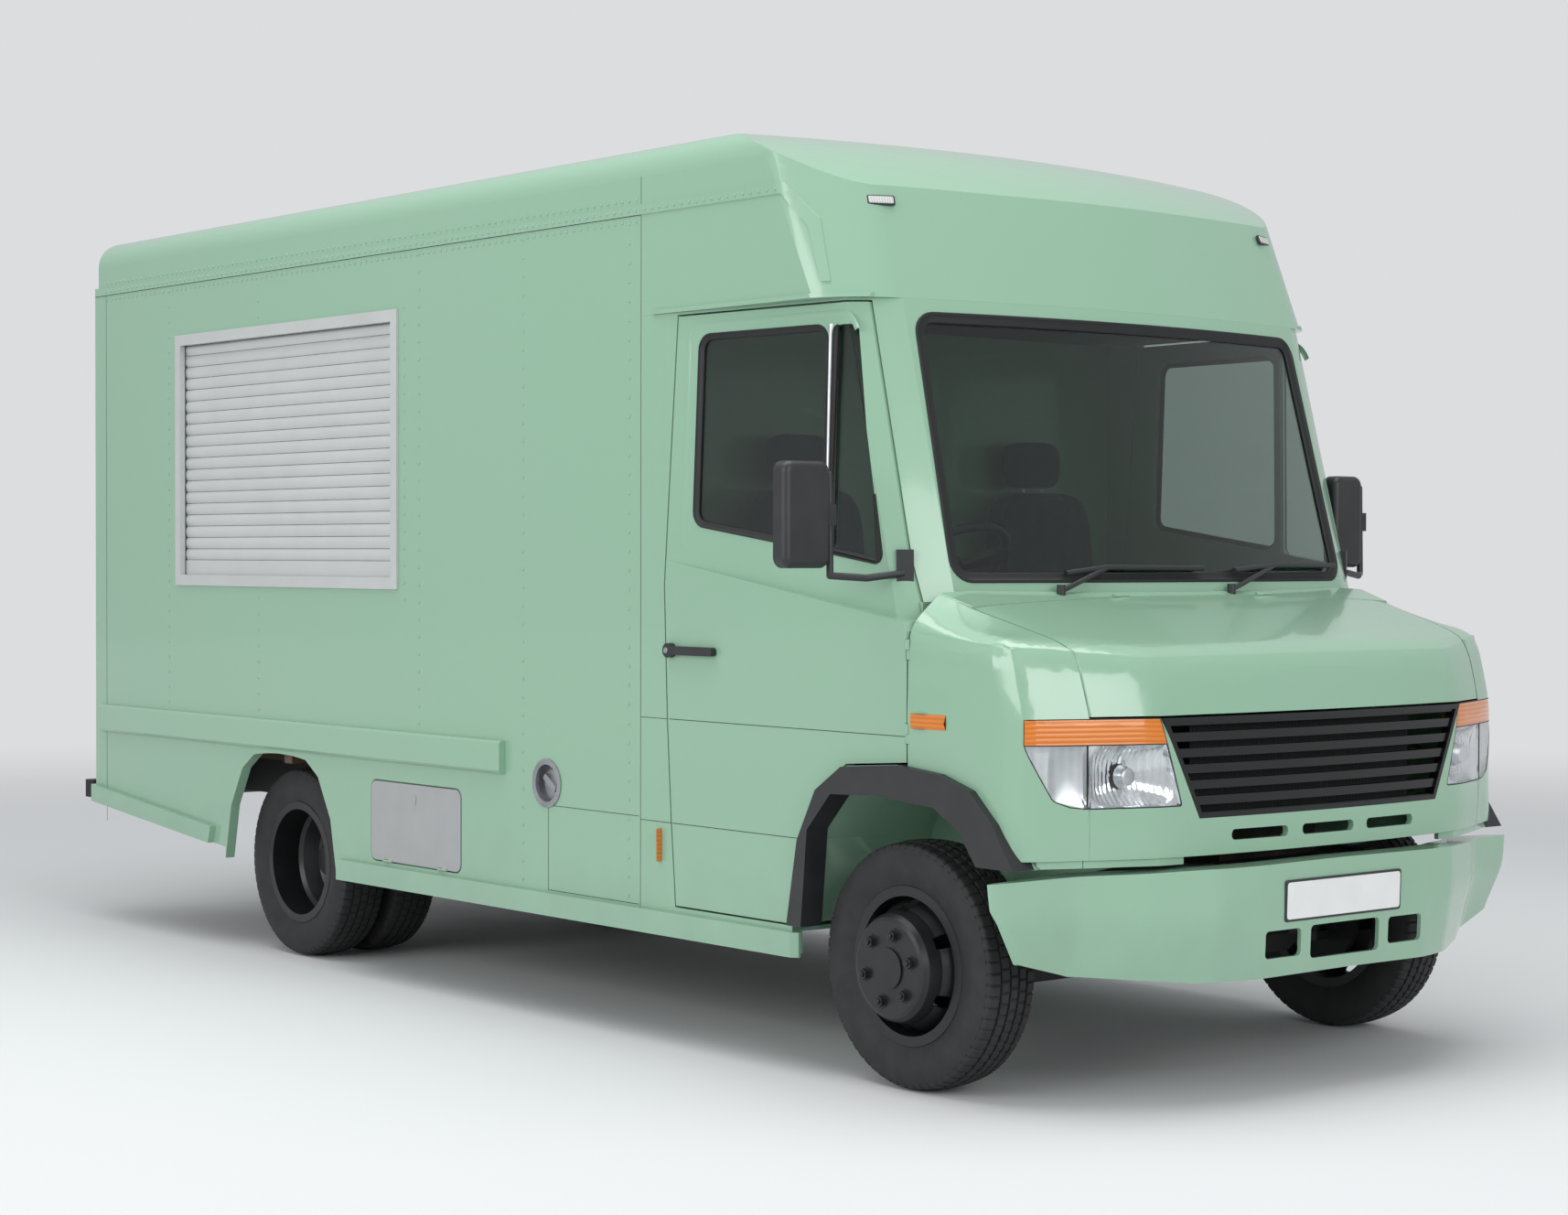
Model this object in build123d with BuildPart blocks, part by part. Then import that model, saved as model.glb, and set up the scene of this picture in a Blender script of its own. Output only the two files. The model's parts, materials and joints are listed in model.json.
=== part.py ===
"""High-roof step van fitted out as a food truck, right-hand drive, stood as it parks.

Millimetres, +X forward, +Y left, +Z up. Values named x_ count from the front axle, forward
positive, and values across from the middle of the body. The right mirror reaches further out
than the left, so finish() moves each piece across, which puts the origin on the ground under
the middle of the whole vehicle's box.
"""

import os
from math import cos, radians, sin

from build123d import *

os.makedirs("parts", exist_ok=True)

# Wheelbase, reaches and the outside of the body
wheelbase = 3700.0
nose_reach = 815.0
rear_wall_reach = 1590.0
step_reach = 140.0
half_width = 1102.0
roof_side_height = 2970.0
roof_crown = 20.0
roof_edge_radius = 110.0
roof_joint_height = 2735.0
wall = 40.0
seam_width = 4.0
door_gap = 6.0
seat_gap = 0.3

overall_length = nose_reach + wheelbase + rear_wall_reach + step_reach
front_axle_x = overall_length / 2 - nose_reach
rear_axle_x = front_axle_x - wheelbase
rear_face_x = rear_axle_x - rear_wall_reach
step_back_x = rear_face_x - step_reach
roof_top = roof_side_height + roof_crown

# Wheels and tyres
tyre_radius = 376.5
tyre_width = 205.0
tread_width = 168.0
rim_radius = 222.0
rim_flange = 19.0
rim_flange_width = 8.0
rim_wall = 11.0
bead_width = 148.0
front_wheel_y = 957.0
twin_outer_y = 909.5
twin_spacing = 240.0
axle_height = tyre_radius
disc_plate = 12.0
hub_bore = 30.0
shaft_clearance = 0.05
vent_radius = 22.0
vent_circle = 181.0
stud_count = 6

# Load floor, sills and lower edge of the body
floor_top = 890.0
floor_thickness = 56.0
skirt_bottom = 365.0
tail_low = 420.0
tail_high = 522.0
sill_bottom = 360.0
sill_top = 438.0
sill_proud = 25.0
post_width = 107.0
x_box_seam = -1264.0
x_sill_front = -431.0

# Rear wheel arch: half widths and heights of the corners of its outline
arch_shift = 28.0
rear_arch = ((442.0, 360.0), (394.0, 584.0), (300.0, 742.0), (205.0, 802.0))
rear_arch_top = 816.0

# Serving hatch
x_hatch_rear = -4530.0
x_hatch_front = -2780.0
hatch_bottom = 1478.0
hatch_top = 2522.0
hatch_frame_width = 38.0
hatch_frame_proud = 9.0
slat_count = 19
slat_thickness = 14.0
shutter_lift = 200.0
shutter_depth = 20.0
shutter_side = 12.0
bottom_rail_height = 66.0

# Locker hatch and filler on the right side
x_locker_rear = -2971.0
x_locker_front = -2355.0
locker_bottom = 457.0
locker_top = 755.0
locker_corner = 32.0
locker_plate = 12.0
locker_depth = 230.0
x_filler = -1807.0
filler_height = 816.0
filler_radius = 85.0

# Rub rails
x_rub_front = -2069.0
rub_bottom = 835.0
rub_top = 950.0
rub_proud = 26.0
tail_rail_height = 74.0
x_tail_rail_front = -4217.0

# Cab: door outline, belt and pillars
x_door_rear = ((-1064.0, 2397.0), (-1131.0, 1508.0), (-1114.0, 1068.0), (-1068.0, 458.0))
x_door_front_low = 59.0
x_door_front_belt = 60.0
x_door_front_top = -241.0
belt_front_height = 1408.0
belt_rear_height = 1573.0
door_bottom = 461.0
x_belt_rear = -998.0
door_top = 2386.0
glasshouse_inset = 57.0
glasshouse_low = 1360.0
x_glasshouse_rear = -1131.0
window_rear_top = (-951.0, 2323.0)
window_rear_bottom = (-977.0, 1705.0)
window_front_bottom = (-75.0, 1590.0)
window_front_top = (-252.0, 2317.0)
pillar_sweep = 100.0
pillar_knee = (45.0, 980.0)

# Windscreen
screen_bottom_height = 1500.0
screen_top_height = 2400.0
x_screen_bottom = 46.0
x_screen_top = -191.0
screen_half_width = 900.0
screen_bulge = 100.0
screen_opening_bottom = 1532.0
screen_opening_top = 2348.0
screen_opening_half_low = 890.0
screen_opening_half_high = 862.0
glass_thickness = 8.0

# High roof over the cab
cap_bottom = 2400.0
cap_low_corner = ((-380.0, 1102.0), (-262.0, 1036.0), (-192.0, 900.0), -92.0)
cap_high_corner = ((-675.0, 1102.0), (-520.0, 1040.0), (-411.0, 850.0), -311.0)
x_cap_crease = -224.0
x_cap_flat = -950.0
cap_crease_height = 2757.0
cap_loft_top = 3000.0

# Nose: plan outline at the lamps, and how it leans back above them
nose_corner_y = (1085.0, 905.0, 688.0)
x_nose_corner = (535.0, 618.0, 704.0)
x_nose_centre = 745.0
nose_lean = 0.265
grille_top = 1141.0
nose_bottom = 735.0
fender_skin = 20.0
x_scuttle = 40.0
hood_rear_y = 985.0
hood_front_y = 905.0
hood_rear_height = 1517.0
hood_front_height = 1345.0
hood_crown = 26.0
shoulder_rear_height = 1400.0
shoulder_front_height = 1352.0
x_crease = 560.0

# Grille and lamps, as half outlines seen from the front
grille_bottom = 844.0
grille_half_top = 688.0
grille_half_bottom = 546.0
grille_bars = 5
lamp_amber_bottom = 1066.0
lamp_bottom = 883.0
slot_heights = (774.0, 806.0)
slot_width = 236.0
slot_pitch = 300.0

# Bumper
bumper_wall = 14.0

# Front wheel arch flare: outer and inner outlines, rear to front
flare_outer = ((-470.0, 459.0), (-420.0, 728.0), (-333.0, 889.0), (-213.0, 967.0), (45.0, 986.0),
               (227.0, 969.0), (358.0, 929.0), (455.0, 839.0), (541.0, 712.0))
flare_inner = ((-400.0, 459.0), (-371.0, 764.0), (-261.0, 881.0), (-47.0, 889.0), (205.0, 871.0),
               (315.0, 808.0), (387.0, 712.0))
flare_proud = 26.0
flare_depth = 60.0

# Chassis
rail_y = 380.0
rail_width = 60.0
rail_bottom = 540.0
rail_top = 690.0
x_rail_front = 600.0
spring_width = 66.0
kingpin_y = 800.0
steer_limit = 35.0
beam_width = 76.0

# Mirror heads, from their inner to their outer edge, and the clamp on each arm
mirror_heads = (("right", 1240.0, 1420.0), ("left", 1072.0, 1218.0))
mirror_clamp_y = 1230.0
mirror_clamp_width = 36.0
middle_shift = (mirror_heads[0][2] - mirror_clamp_y - mirror_clamp_width / 2) / 2


def at(x):
    """Position along the vehicle of a distance from the front axle."""
    return front_axle_x + x


def finish(builder, name):
    piece = builder.part.moved(Location((0, middle_shift, 0)))
    piece.label = name
    export_step(piece, f"parts/{name}.step")


def points_at(pairs):
    return [(at(x), z) for x, z in pairs]


def hinge_half(centre, along, attach, radius, height, moving):
    """Ring of a hinge on its moving piece, or the pin and barrel on what carries it."""
    pin = radius * 0.5
    foot = Plane(centre, z_dir=along)
    reach = Vector(*attach)
    with BuildPart() as half:
        with BuildSketch(foot if moving else foot.offset(-height / 2)):
            Circle(radius)
            if moving:
                Circle(pin + shaft_clearance, mode=Mode.SUBTRACT)
        extrude(amount=height / 2 - (0 if moving else 0.5))
        if not moving:
            with BuildSketch(foot.offset(-height / 2)):
                Circle(pin)
            extrude(amount=height)
        with BuildPart(mode=Mode.PRIVATE) as lug:
            with BuildSketch(Plane(centre, x_dir=along, z_dir=reach).offset(pin + 0.6)):
                with Locations((height / 4 * (1 if moving else -1), 0)):
                    Rectangle(height / 2 - 1.4, radius)
            extrude(amount=reach.length - pin)
        add(lug.part)
    return half.part


def hinge_notch(centre, along, radius, height):
    with BuildPart() as notch:
        with BuildSketch(Plane(centre, z_dir=along).offset(-height / 2 - 1.5)):
            Circle(radius + 1.5)
        extrude(amount=height + 3)
    return notch.part


# Section of the roof across the vehicle, from one joint with the side wall to the other
def roof_section(inset, bottom, x):
    half = half_width - inset
    radius = roof_edge_radius - inset
    spring_z = roof_side_height - roof_edge_radius
    edge_y = half_width - roof_edge_radius
    top = roof_side_height - inset
    turn = radius * sin(radians(45))
    with BuildSketch(Plane.YZ.offset(x)) as section:
        with BuildLine():
            Line((-half, bottom), (-half, spring_z))
            ThreePointArc((-half, spring_z), (-edge_y - turn, spring_z + turn), (-edge_y, top))
            ThreePointArc((-edge_y, top), (0, top + roof_crown), (edge_y, top))
            ThreePointArc((edge_y, top), (edge_y + turn, spring_z + turn), (half, spring_z))
            Line((half, spring_z), (half, bottom))
            Line((half, bottom), (-half, bottom))
        make_face()
    return section.sketch


# Outline of the rear wheel arch, wider by a margin
def arch_outline(margin):
    centre = rear_axle_x + arch_shift
    rise = [(half + margin, z + (margin if z > rear_arch[1][1] else 0)) for half, z in rear_arch]
    rear = [(centre - half, z) for half, z in rise]
    front = [(centre + half, z) for half, z in reversed(rise)]
    with BuildLine() as line:
        Polyline(*rear)
        ThreePointArc(rear[-1], (centre, rear_arch_top + margin), front[0])
        Polyline(*front)
        Line(front[-1], rear[0])
    return line.line


# Tyre and rim sections, turned about the wheel's own axis at the height of the axle
def turned(profile, x, y, mirrored=False):
    side = -1 if mirrored else 1
    with BuildPart() as body:
        with BuildSketch(Plane.YZ.offset(x)):
            with BuildLine():
                profile(y, side)
            make_face()
        revolve(axis=Axis((x, 0, axle_height), (0, 1, 0)))
    return body.part


def tyre_profile(y, side):
    bead = bead_width / 2
    sidewall = tyre_width / 2
    tread = tread_width / 2
    base = axle_height + rim_radius
    shoulder = axle_height + tyre_radius - 9
    middle = axle_height + rim_radius + 0.48 * (tyre_radius - rim_radius)
    Line((y - bead, base), (y + bead, base))
    Line((y + bead, base), (y + bead + 5, base + rim_flange + 3))
    ThreePointArc((y + bead + 5, base + rim_flange + 3), (y + sidewall, middle), (y + tread, shoulder))
    ThreePointArc((y + tread, shoulder), (y, axle_height + tyre_radius), (y - tread, shoulder))
    ThreePointArc((y - tread, shoulder), (y - sidewall, middle), (y - bead - 5, base + rim_flange + 3))
    Line((y - bead - 5, base + rim_flange + 3), (y - bead, base))


def rim_profile(y, side):
    """Barrel with a flange at each edge and a well between, disc welded in on one side."""
    outer = axle_height + rim_radius - seat_gap
    inner = outer - rim_wall
    lip = axle_height + rim_radius + rim_flange
    half = bead_width / 2 + 6
    edge = half + rim_flange_width
    Polyline((y - edge, inner), (y - edge, lip), (y - half, lip), (y - half, outer), (y + half, outer),
             (y + half, lip), (y + edge, lip), (y + edge, inner), (y - edge, inner))


# Road wheels: one table row for each, with the side it stands on and the inner twin's offset
def wheel_disc(x, y, stations, side):
    """Pressed disc through the named stations of radius and offset from the wheel's middle."""
    face = [(y + side * offset, axle_height + radius) for radius, offset in stations]
    back = [(py - side * disc_plate, pz) for py, pz in reversed(face)]
    with BuildPart() as body:
        with BuildSketch(Plane.YZ.offset(x)):
            with BuildLine():
                Polyline(*face, *back, face[0])
            make_face()
        revolve(axis=Axis((x, 0, axle_height), (0, 1, 0)))
    return body.part


hub_face = 162.0
front_disc = ((rim_radius - rim_wall + 1, 34.0), (202.0, 44.0), (188.0, 70.0), (172.0, 100.0), (162.0, hub_face - 20),
              (152.0, hub_face - 4), (140.0, hub_face), (hub_bore, hub_face))
twin_disc = ((rim_radius - rim_wall + 1, -30.0), (196.0, -44.0), (168.0, -100.0), (140.0, -119.9),
             (60.0, -119.9))


def front_rim(side):
    y = side * front_wheel_y
    with BuildPart() as rim:
        add(turned(rim_profile, front_axle_x, y))
        add(wheel_disc(front_axle_x, y, front_disc, side))
        with Locations(Plane.XZ * Location((front_axle_x, axle_height, -y - side * 30))):
            with PolarLocations(vent_circle, stud_count, 30):
                Cylinder(vent_radius, 160, mode=Mode.SUBTRACT)
        # Hub barrel that runs on the stub axle, closed by the cap
        hub_plane = Plane((front_axle_x, y + side * (hub_face + 6), axle_height), z_dir=(0, -side, 0))
        with BuildSketch(hub_plane):
            Circle(62)
        extrude(amount=24)
        with BuildSketch(hub_plane.offset(24)):
            Circle(62)
            Circle(hub_bore + shaft_clearance, mode=Mode.SUBTRACT)
        extrude(amount=hub_face + 6 - 24 - 14)
    return rim


def twin_rims(side):
    outer_y = side * twin_outer_y
    inner_y = side * (twin_outer_y - twin_spacing)
    middle = (outer_y + inner_y) / 2
    with BuildPart() as rim:
        add(turned(rim_profile, rear_axle_x, outer_y))
        add(turned(rim_profile, rear_axle_x, inner_y))
        add(wheel_disc(rear_axle_x, outer_y, twin_disc, side))
        add(wheel_disc(rear_axle_x, inner_y, twin_disc, -side))
        # Hub drum with the half shaft's flange, standing out of the dish
        with BuildSketch(Plane((rear_axle_x, middle - side * 20, axle_height), z_dir=(0, side, 0))):
            Circle(88)
        extrude(amount=70)
        with BuildSketch(Plane((rear_axle_x, middle + side * 50, axle_height), z_dir=(0, side, 0))):
            Circle(58)
        extrude(amount=34, taper=12)
        with BuildSketch(Plane((rear_axle_x, middle - side * 20, axle_height), z_dir=(0, -side, 0))):
            Circle(88)
            Circle(hub_bore + 12 + shaft_clearance, mode=Mode.SUBTRACT)
        extrude(amount=40)
    return rim


for side, hand in ((-1, "right"), (1, "left")):
    with BuildPart() as tyre:
        add(turned(tyre_profile, front_axle_x, side * front_wheel_y))
    finish(tyre, f"tyre_front_{hand}")
    finish(front_rim(side), f"rim_front_{hand}")
    with BuildPart() as twin_tyres:
        add(turned(tyre_profile, rear_axle_x, side * twin_outer_y))
        add(turned(tyre_profile, rear_axle_x, side * (twin_outer_y - twin_spacing)))
    finish(twin_tyres, f"tyres_rear_{hand}")
    finish(twin_rims(side), f"rims_rear_{hand}")

# Steering knuckle: fork about the axle's eye, king pin, stub axle and brake disc
eye_radius = 34.0
eye_height = 84.0
fork_arm = 30.0
pin_radius = 17.0
stub_root_y = kingpin_y + 52

for side, hand in ((-1, "right"), (1, "left")):
    with BuildPart() as knuckle:
        for level in (-1, 1):
            gap = eye_height / 2 + 0.5
            with BuildSketch(Plane.XY.offset(axle_height + (gap if level > 0 else -gap - fork_arm))):
                with Locations((front_axle_x, side * kingpin_y)):
                    Circle(eye_radius)
                with Locations((front_axle_x, side * (kingpin_y + 26))):
                    Rectangle(eye_radius * 2, 52)
            extrude(amount=fork_arm)
        with BuildSketch(Plane((front_axle_x, side * (kingpin_y + 38), axle_height), z_dir=(0, side, 0))):
            Rectangle(2 * eye_radius, eye_height + 2 * fork_arm + 1)
        extrude(amount=14)
        with Locations((front_axle_x, side * kingpin_y, axle_height)):
            Cylinder(pin_radius, eye_height + 2 * fork_arm)
        with BuildSketch(Plane((front_axle_x, side * stub_root_y, axle_height), z_dir=(0, side, 0))):
            Circle(hub_bore)
        extrude(amount=front_wheel_y + hub_face + 6 - 24 - 2 - stub_root_y)
        with BuildSketch(Plane((front_axle_x, side * stub_root_y, axle_height), z_dir=(0, side, 0))):
            Circle(150)
        extrude(amount=22)
    finish(knuckle, f"knuckle_{hand}")

# Front axle: dropped forged beam with an eye at each end
beam_drop = 52.0
with BuildPart() as front_axle:
    outline = [(-kingpin_y, axle_height + eye_height / 2), (-kingpin_y + 70, axle_height + eye_height / 2),
               (-kingpin_y + 170, axle_height - beam_drop + 40), (0, axle_height - beam_drop + 40)]
    under = [(0, axle_height - beam_drop - 40), (-kingpin_y + 150, axle_height - beam_drop - 40),
             (-kingpin_y + 60, axle_height - eye_height / 2), (-kingpin_y, axle_height - eye_height / 2)]
    with BuildSketch(Plane.YZ.offset(front_axle_x)):
        with BuildLine():
            Polyline(*outline, *under, outline[0])
        make_face()
        mirror(about=Plane.YZ)
    extrude(amount=beam_width / 2 - 8, both=True)
    for side in (-1, 1):
        with Locations((front_axle_x, side * kingpin_y, axle_height)):
            Cylinder(eye_radius, eye_height)
            Cylinder(pin_radius + shaft_clearance, eye_height, mode=Mode.SUBTRACT)
finish(front_axle, "front_axle")

# Rear axle: banjo casing, tubes and spindles into the twin hubs
spindle_reach = twin_outer_y - twin_spacing / 2 - 20 - 3
with BuildPart() as rear_axle:
    with BuildSketch(Plane.XZ.offset(-spindle_reach)):
        with Locations((rear_axle_x, axle_height)):
            Circle(hub_bore + 12)
    extrude(amount=2 * spindle_reach)
    with BuildSketch(Plane.XZ.offset(-(spindle_reach - 42))):
        with Locations((rear_axle_x, axle_height)):
            Circle(56)
    extrude(amount=2 * (spindle_reach - 42))
    with BuildSketch(Plane((rear_axle_x - 90, 0, axle_height), z_dir=(1, 0, 0))):
        Circle(150)
    extrude(amount=180, taper=4)
    with BuildSketch(Plane((rear_axle_x + 80, 0, axle_height), z_dir=(1, 0, 0))):
        Circle(70)
    extrude(amount=150, taper=8)
    for side in (-1, 1):
        with BuildSketch(Plane((rear_axle_x, side * 470, axle_height), z_dir=(0, side, 0))):
            Circle(165)
        extrude(amount=74)
finish(rear_axle, "rear_axle")

# Drive shaft from the gearbox to the rear axle
shaft_rear_x = rear_axle_x + 233 + seat_gap
shaft_front_x = at(-424)
with BuildPart() as drive_shaft:
    with BuildSketch(Plane((shaft_rear_x, 0, axle_height), x_dir=(0, 1, 0), z_dir=(1, 0, 0.075))):
        Circle(38)
    extrude(amount=(shaft_front_x - shaft_rear_x))
finish(drive_shaft, "drive_shaft")

# Leaf springs: stacked leaves, longest on top, with rolled eyes
front_spring_seat = axle_height - beam_drop + 40
rear_spring_seat = axle_height + 56
springs = (  # axle position, seat height, half length and camber of the main leaf
    (front_axle_x, front_spring_seat, 520.0, 90.0),
    (rear_axle_x, rear_spring_seat, 640.0, 44.0),
)
leaf = 11.0
leaf_count = 3
with BuildPart() as leaf_springs:
    for side in (-1, 1):
        for axle_x, seat, half_length, camber in springs:
            radius = (half_length ** 2 + camber ** 2) / (2 * camber)
            top_z = seat + seat_gap + leaf * leaf_count
            with BuildSketch(Plane.XZ.offset(-side * rail_y - spring_width / 2)):
                for row in range(leaf_count):
                    reach = half_length * (1 - 0.22 * (leaf_count - 1 - row)) / radius
                    inner = radius + leaf * (leaf_count - 1 - row) - leaf
                    outer = inner + leaf
                    cz = top_z + radius - leaf
                    ends = [(axle_x + s * r * sin(reach), cz - r * cos(reach))
                            for s, r in ((-1, inner), (-1, outer), (1, outer), (1, inner))]
                    with BuildLine():
                        Line(ends[0], ends[1])
                        ThreePointArc(ends[1], (axle_x, cz - outer), ends[2])
                        Line(ends[2], ends[3])
                        ThreePointArc(ends[3], (axle_x, cz - inner), ends[0])
                    make_face()
            extrude(amount=spring_width)
finish(leaf_springs, "leaf_springs")

# Chassis: two rails, cross members, spring hangers, tank brackets and the rear step bar
x_cross_members = (-5000.0, -4200.0, -3080.0, -2200.0, 550.0)
cross_depth = 90.0
step_bar_depth = 80.0
step_bar_bottom = 530.0
step_bar_top = 606.0
tank = (-2320.0, -1480.0, 480.0, 840.0, 415.0, 700.0)
with BuildPart() as chassis_frame:
    for side in (-1, 1):
        rail_start = step_back_x + step_bar_depth
        with Locations(((rail_start + at(x_rail_front)) / 2, side * rail_y, (rail_bottom + rail_top) / 2)):
            Box(at(x_rail_front) - rail_start, rail_width, rail_top - rail_bottom)
        for axle_x, seat, half_length, camber in springs:
            radius = (half_length ** 2 + camber ** 2) / (2 * camber) - leaf
            tip = radius * sin(half_length / (radius + leaf))
            rise = radius * (1 - cos(half_length / (radius + leaf)))
            hanger_low = seat + 2 * seat_gap + leaf * leaf_count + rise
            for end in (-1, 1):
                with Locations((axle_x + end * (tip + 5), side * rail_y, (hanger_low + rail_bottom) / 2)):
                    Box(70, spring_width, rail_bottom - hanger_low)
    for x in x_cross_members:
        with Locations((at(x), 0, (rail_bottom + rail_top) / 2)):
            Box(cross_depth, 2 * rail_y, rail_top - rail_bottom - 20)
    for x in (tank[0] + 150, tank[1] - 150):
        with Locations((at(x), (rail_y + rail_width / 2 + tank[2] - seat_gap) / 2, 600)):
            Box(60, tank[2] - seat_gap - rail_y - rail_width / 2, 120)
    with BuildSketch(Plane.XY.offset(step_bar_bottom)):
        with Locations((step_back_x + step_bar_depth / 2, 0)):
            RectangleRounded(step_bar_depth, 2 * half_width - 20, 18)
    extrude(amount=step_bar_top - step_bar_bottom)
    # Four-hole tow plate pattern in the step bar
    with BuildSketch(Plane((step_back_x, 0, (step_bar_bottom + step_bar_top) / 2), x_dir=(0, 1, 0), z_dir=(1, 0, 0))):
        with GridLocations(83, 46, 2, 2):
            Circle(6.5)
    extrude(amount=step_bar_depth, mode=Mode.SUBTRACT)
finish(chassis_frame, "chassis_frame")

# Engine with its gearbox: one plain block
with BuildPart() as engine_block:
    engine_front = x_cross_members[-1] - cross_depth / 2 - seat_gap
    with Locations((at(engine_front - 235), 0, 880)):
        Box(470, 440, 520)
    with Locations((at(-180), 0, 650)):
        Box(480, 300, 230)
finish(engine_block, "engine_block")

with BuildPart() as fuel_tank:
    with Locations((at((tank[0] + tank[1]) / 2), (tank[2] + tank[3]) / 2, (tank[4] + tank[5]) / 2)):
        Box(tank[1] - tank[0], tank[3] - tank[2], tank[5] - tank[4])
    fillet(fuel_tank.edges().filter_by(Axis.X), 55)
finish(fuel_tank, "fuel_tank")

# Load floor on two bearers along the rails, with cross bearers over the wheels
inner_half = half_width - wall
floor_bottom = floor_top - floor_thickness
leaf_thickness = 36.0
floor_rear_x = rear_face_x + leaf_thickness + door_gap
floor_front_x = at(x_box_seam) - seat_gap
bearer_low = floor_bottom - 58
x_bearers = (-4900.0, -4400.0, -3672.0, -3000.0, -2300.0, -1600.0)
with BuildPart() as body_floor:
    with Locations(((floor_rear_x + floor_front_x) / 2, 0, floor_top - floor_thickness / 2)):
        Box(floor_front_x - floor_rear_x, 2 * inner_half - 2 * seat_gap, floor_thickness)
    for x in x_bearers:
        with Locations((at(x), 0, (bearer_low + floor_bottom) / 2)):
            Box(60, 2 * inner_half - 2 * seat_gap, floor_bottom - bearer_low)
    for side in (-1, 1):
        with Locations(((floor_rear_x + floor_front_x) / 2, side * rail_y, (rail_top + seat_gap + floor_bottom) / 2)):
            Box(floor_front_x - floor_rear_x - 80, rail_width, floor_bottom - rail_top - seat_gap)
finish(body_floor, "body_floor")


def tail_line(x):
    """Height of the body's lower edge behind the rear wheels."""
    return tail_low + (tail_high - tail_low) * (x_tail_rail_front - x) / (x_tail_rail_front + wheelbase + rear_wall_reach)


# Side walls, each one panel cut for its wheel arch
x_post = -wheelbase - rear_wall_reach + post_width
x_arch_rear = -wheelbase + arch_shift - rear_arch[0][0]
hatch_inner = (x_hatch_rear + hatch_frame_width, x_hatch_front - hatch_frame_width,
               hatch_bottom + hatch_frame_width, hatch_top - hatch_frame_width)


def side_wall(side):
    with BuildPart() as panel:
        with BuildSketch(Plane.XZ.offset(-side * half_width)):
            with BuildLine():
                outline = points_at(((x_post, tail_line(x_post)), (x_arch_rear, tail_line(x_arch_rear)),
                                     (x_arch_rear, skirt_bottom), (x_box_seam, skirt_bottom),
                                     (x_box_seam, roof_joint_height), (x_post, roof_joint_height)))
                Polyline(*outline, outline[0])
            make_face()
            with BuildSketch(Plane.XY, mode=Mode.PRIVATE) as arch:
                add(arch_outline(0))
                make_face()
            add(arch.sketch, mode=Mode.SUBTRACT)
        extrude(amount=side * wall)
    return panel


left_wall = side_wall(1)
finish(left_wall, "body_side_left")

locker_gap = 5.5
locker_hinge_radius = 5.0
locker_hinge_height = 60.0
locker_hinges = [(at(x), -half_width - 2, locker_bottom) for x in (x_locker_rear + 120, x_locker_front - 120)]
with BuildPart() as right_wall:
    add(side_wall(-1).part)
    # Hatch opening, with the pocket above it that the shutter lifts into
    mid_x = at((hatch_inner[0] + hatch_inner[1]) / 2)
    with Locations((mid_x, -half_width, (hatch_inner[2] + hatch_inner[3]) / 2)):
        Box(hatch_inner[1] - hatch_inner[0], 3 * wall, hatch_inner[3] - hatch_inner[2], mode=Mode.SUBTRACT)
    pocket_top = hatch_inner[3] + shutter_lift + 8
    pocket_out = half_width - shutter_depth + 5
    with Locations((mid_x, -pocket_out + 50, (hatch_inner[2] - 10 + pocket_top) / 2)):
        Box(hatch_inner[1] - hatch_inner[0] + 2 * shutter_side, 100, pocket_top - hatch_inner[2] + 10, mode=Mode.SUBTRACT)
    # Locker opening with its tray behind, and the filler's hole
    locker_mid = (at((x_locker_rear + x_locker_front) / 2), (locker_bottom + locker_top) / 2)
    locker_size = (x_locker_front - x_locker_rear, locker_top - locker_bottom)
    with BuildSketch(Plane.XZ.offset(inner_half - locker_depth)):
        with Locations(locker_mid):
            Rectangle(locker_size[0] - 24, locker_size[1] - 24)
    extrude(amount=locker_depth + 1)
    with BuildSketch(Plane.XZ.offset(inner_half - locker_depth + 10)):
        with Locations(locker_mid):
            Rectangle(locker_size[0] - 44, locker_size[1] - 44)
    extrude(amount=locker_depth + wall, mode=Mode.SUBTRACT)
    with BuildSketch(Plane.XZ.offset(half_width - locker_plate - 4)):
        with Locations(locker_mid):
            RectangleRounded(locker_size[0] + 2 * locker_gap, locker_size[1] + 2 * locker_gap, locker_corner + locker_gap)
    extrude(amount=wall, mode=Mode.SUBTRACT)
    with BuildSketch(Plane.XZ.offset(inner_half - 1)):
        with Locations((at(x_filler), filler_height)):
            Circle(filler_radius - 16)
    extrude(amount=wall + 2, mode=Mode.SUBTRACT)
    for spot in locker_hinges:
        add(hinge_notch(spot, (1, 0, 0), locker_hinge_radius, locker_hinge_height), mode=Mode.SUBTRACT)
        add(hinge_half(spot, (1, 0, 0), (0, 6, -14), locker_hinge_radius, locker_hinge_height, False))
finish(right_wall, "body_side_right")

# Locker lid, flush plate with a small lock, hinged along its lower edge
with BuildPart() as locker_lid:
    with BuildSketch(Plane.XZ.offset(half_width - locker_plate + 2)):
        with Locations(locker_mid):
            RectangleRounded(locker_size[0], locker_size[1], locker_corner)
    extrude(amount=locker_plate)
    with BuildSketch(Plane.XZ.offset(half_width + 2)):
        with Locations((locker_mid[0], locker_top - 50)):
            Circle(11)
            with Locations((0, -16)):
                Circle(8)
    extrude(amount=3)
    for spot in locker_hinges:
        add(hinge_notch(spot, (1, 0, 0), locker_hinge_radius, locker_hinge_height), mode=Mode.SUBTRACT)
        add(hinge_half(spot, (1, 0, 0), (0, 3, 14), locker_hinge_radius, locker_hinge_height, True))
finish(locker_lid, "locker_lid")

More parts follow.
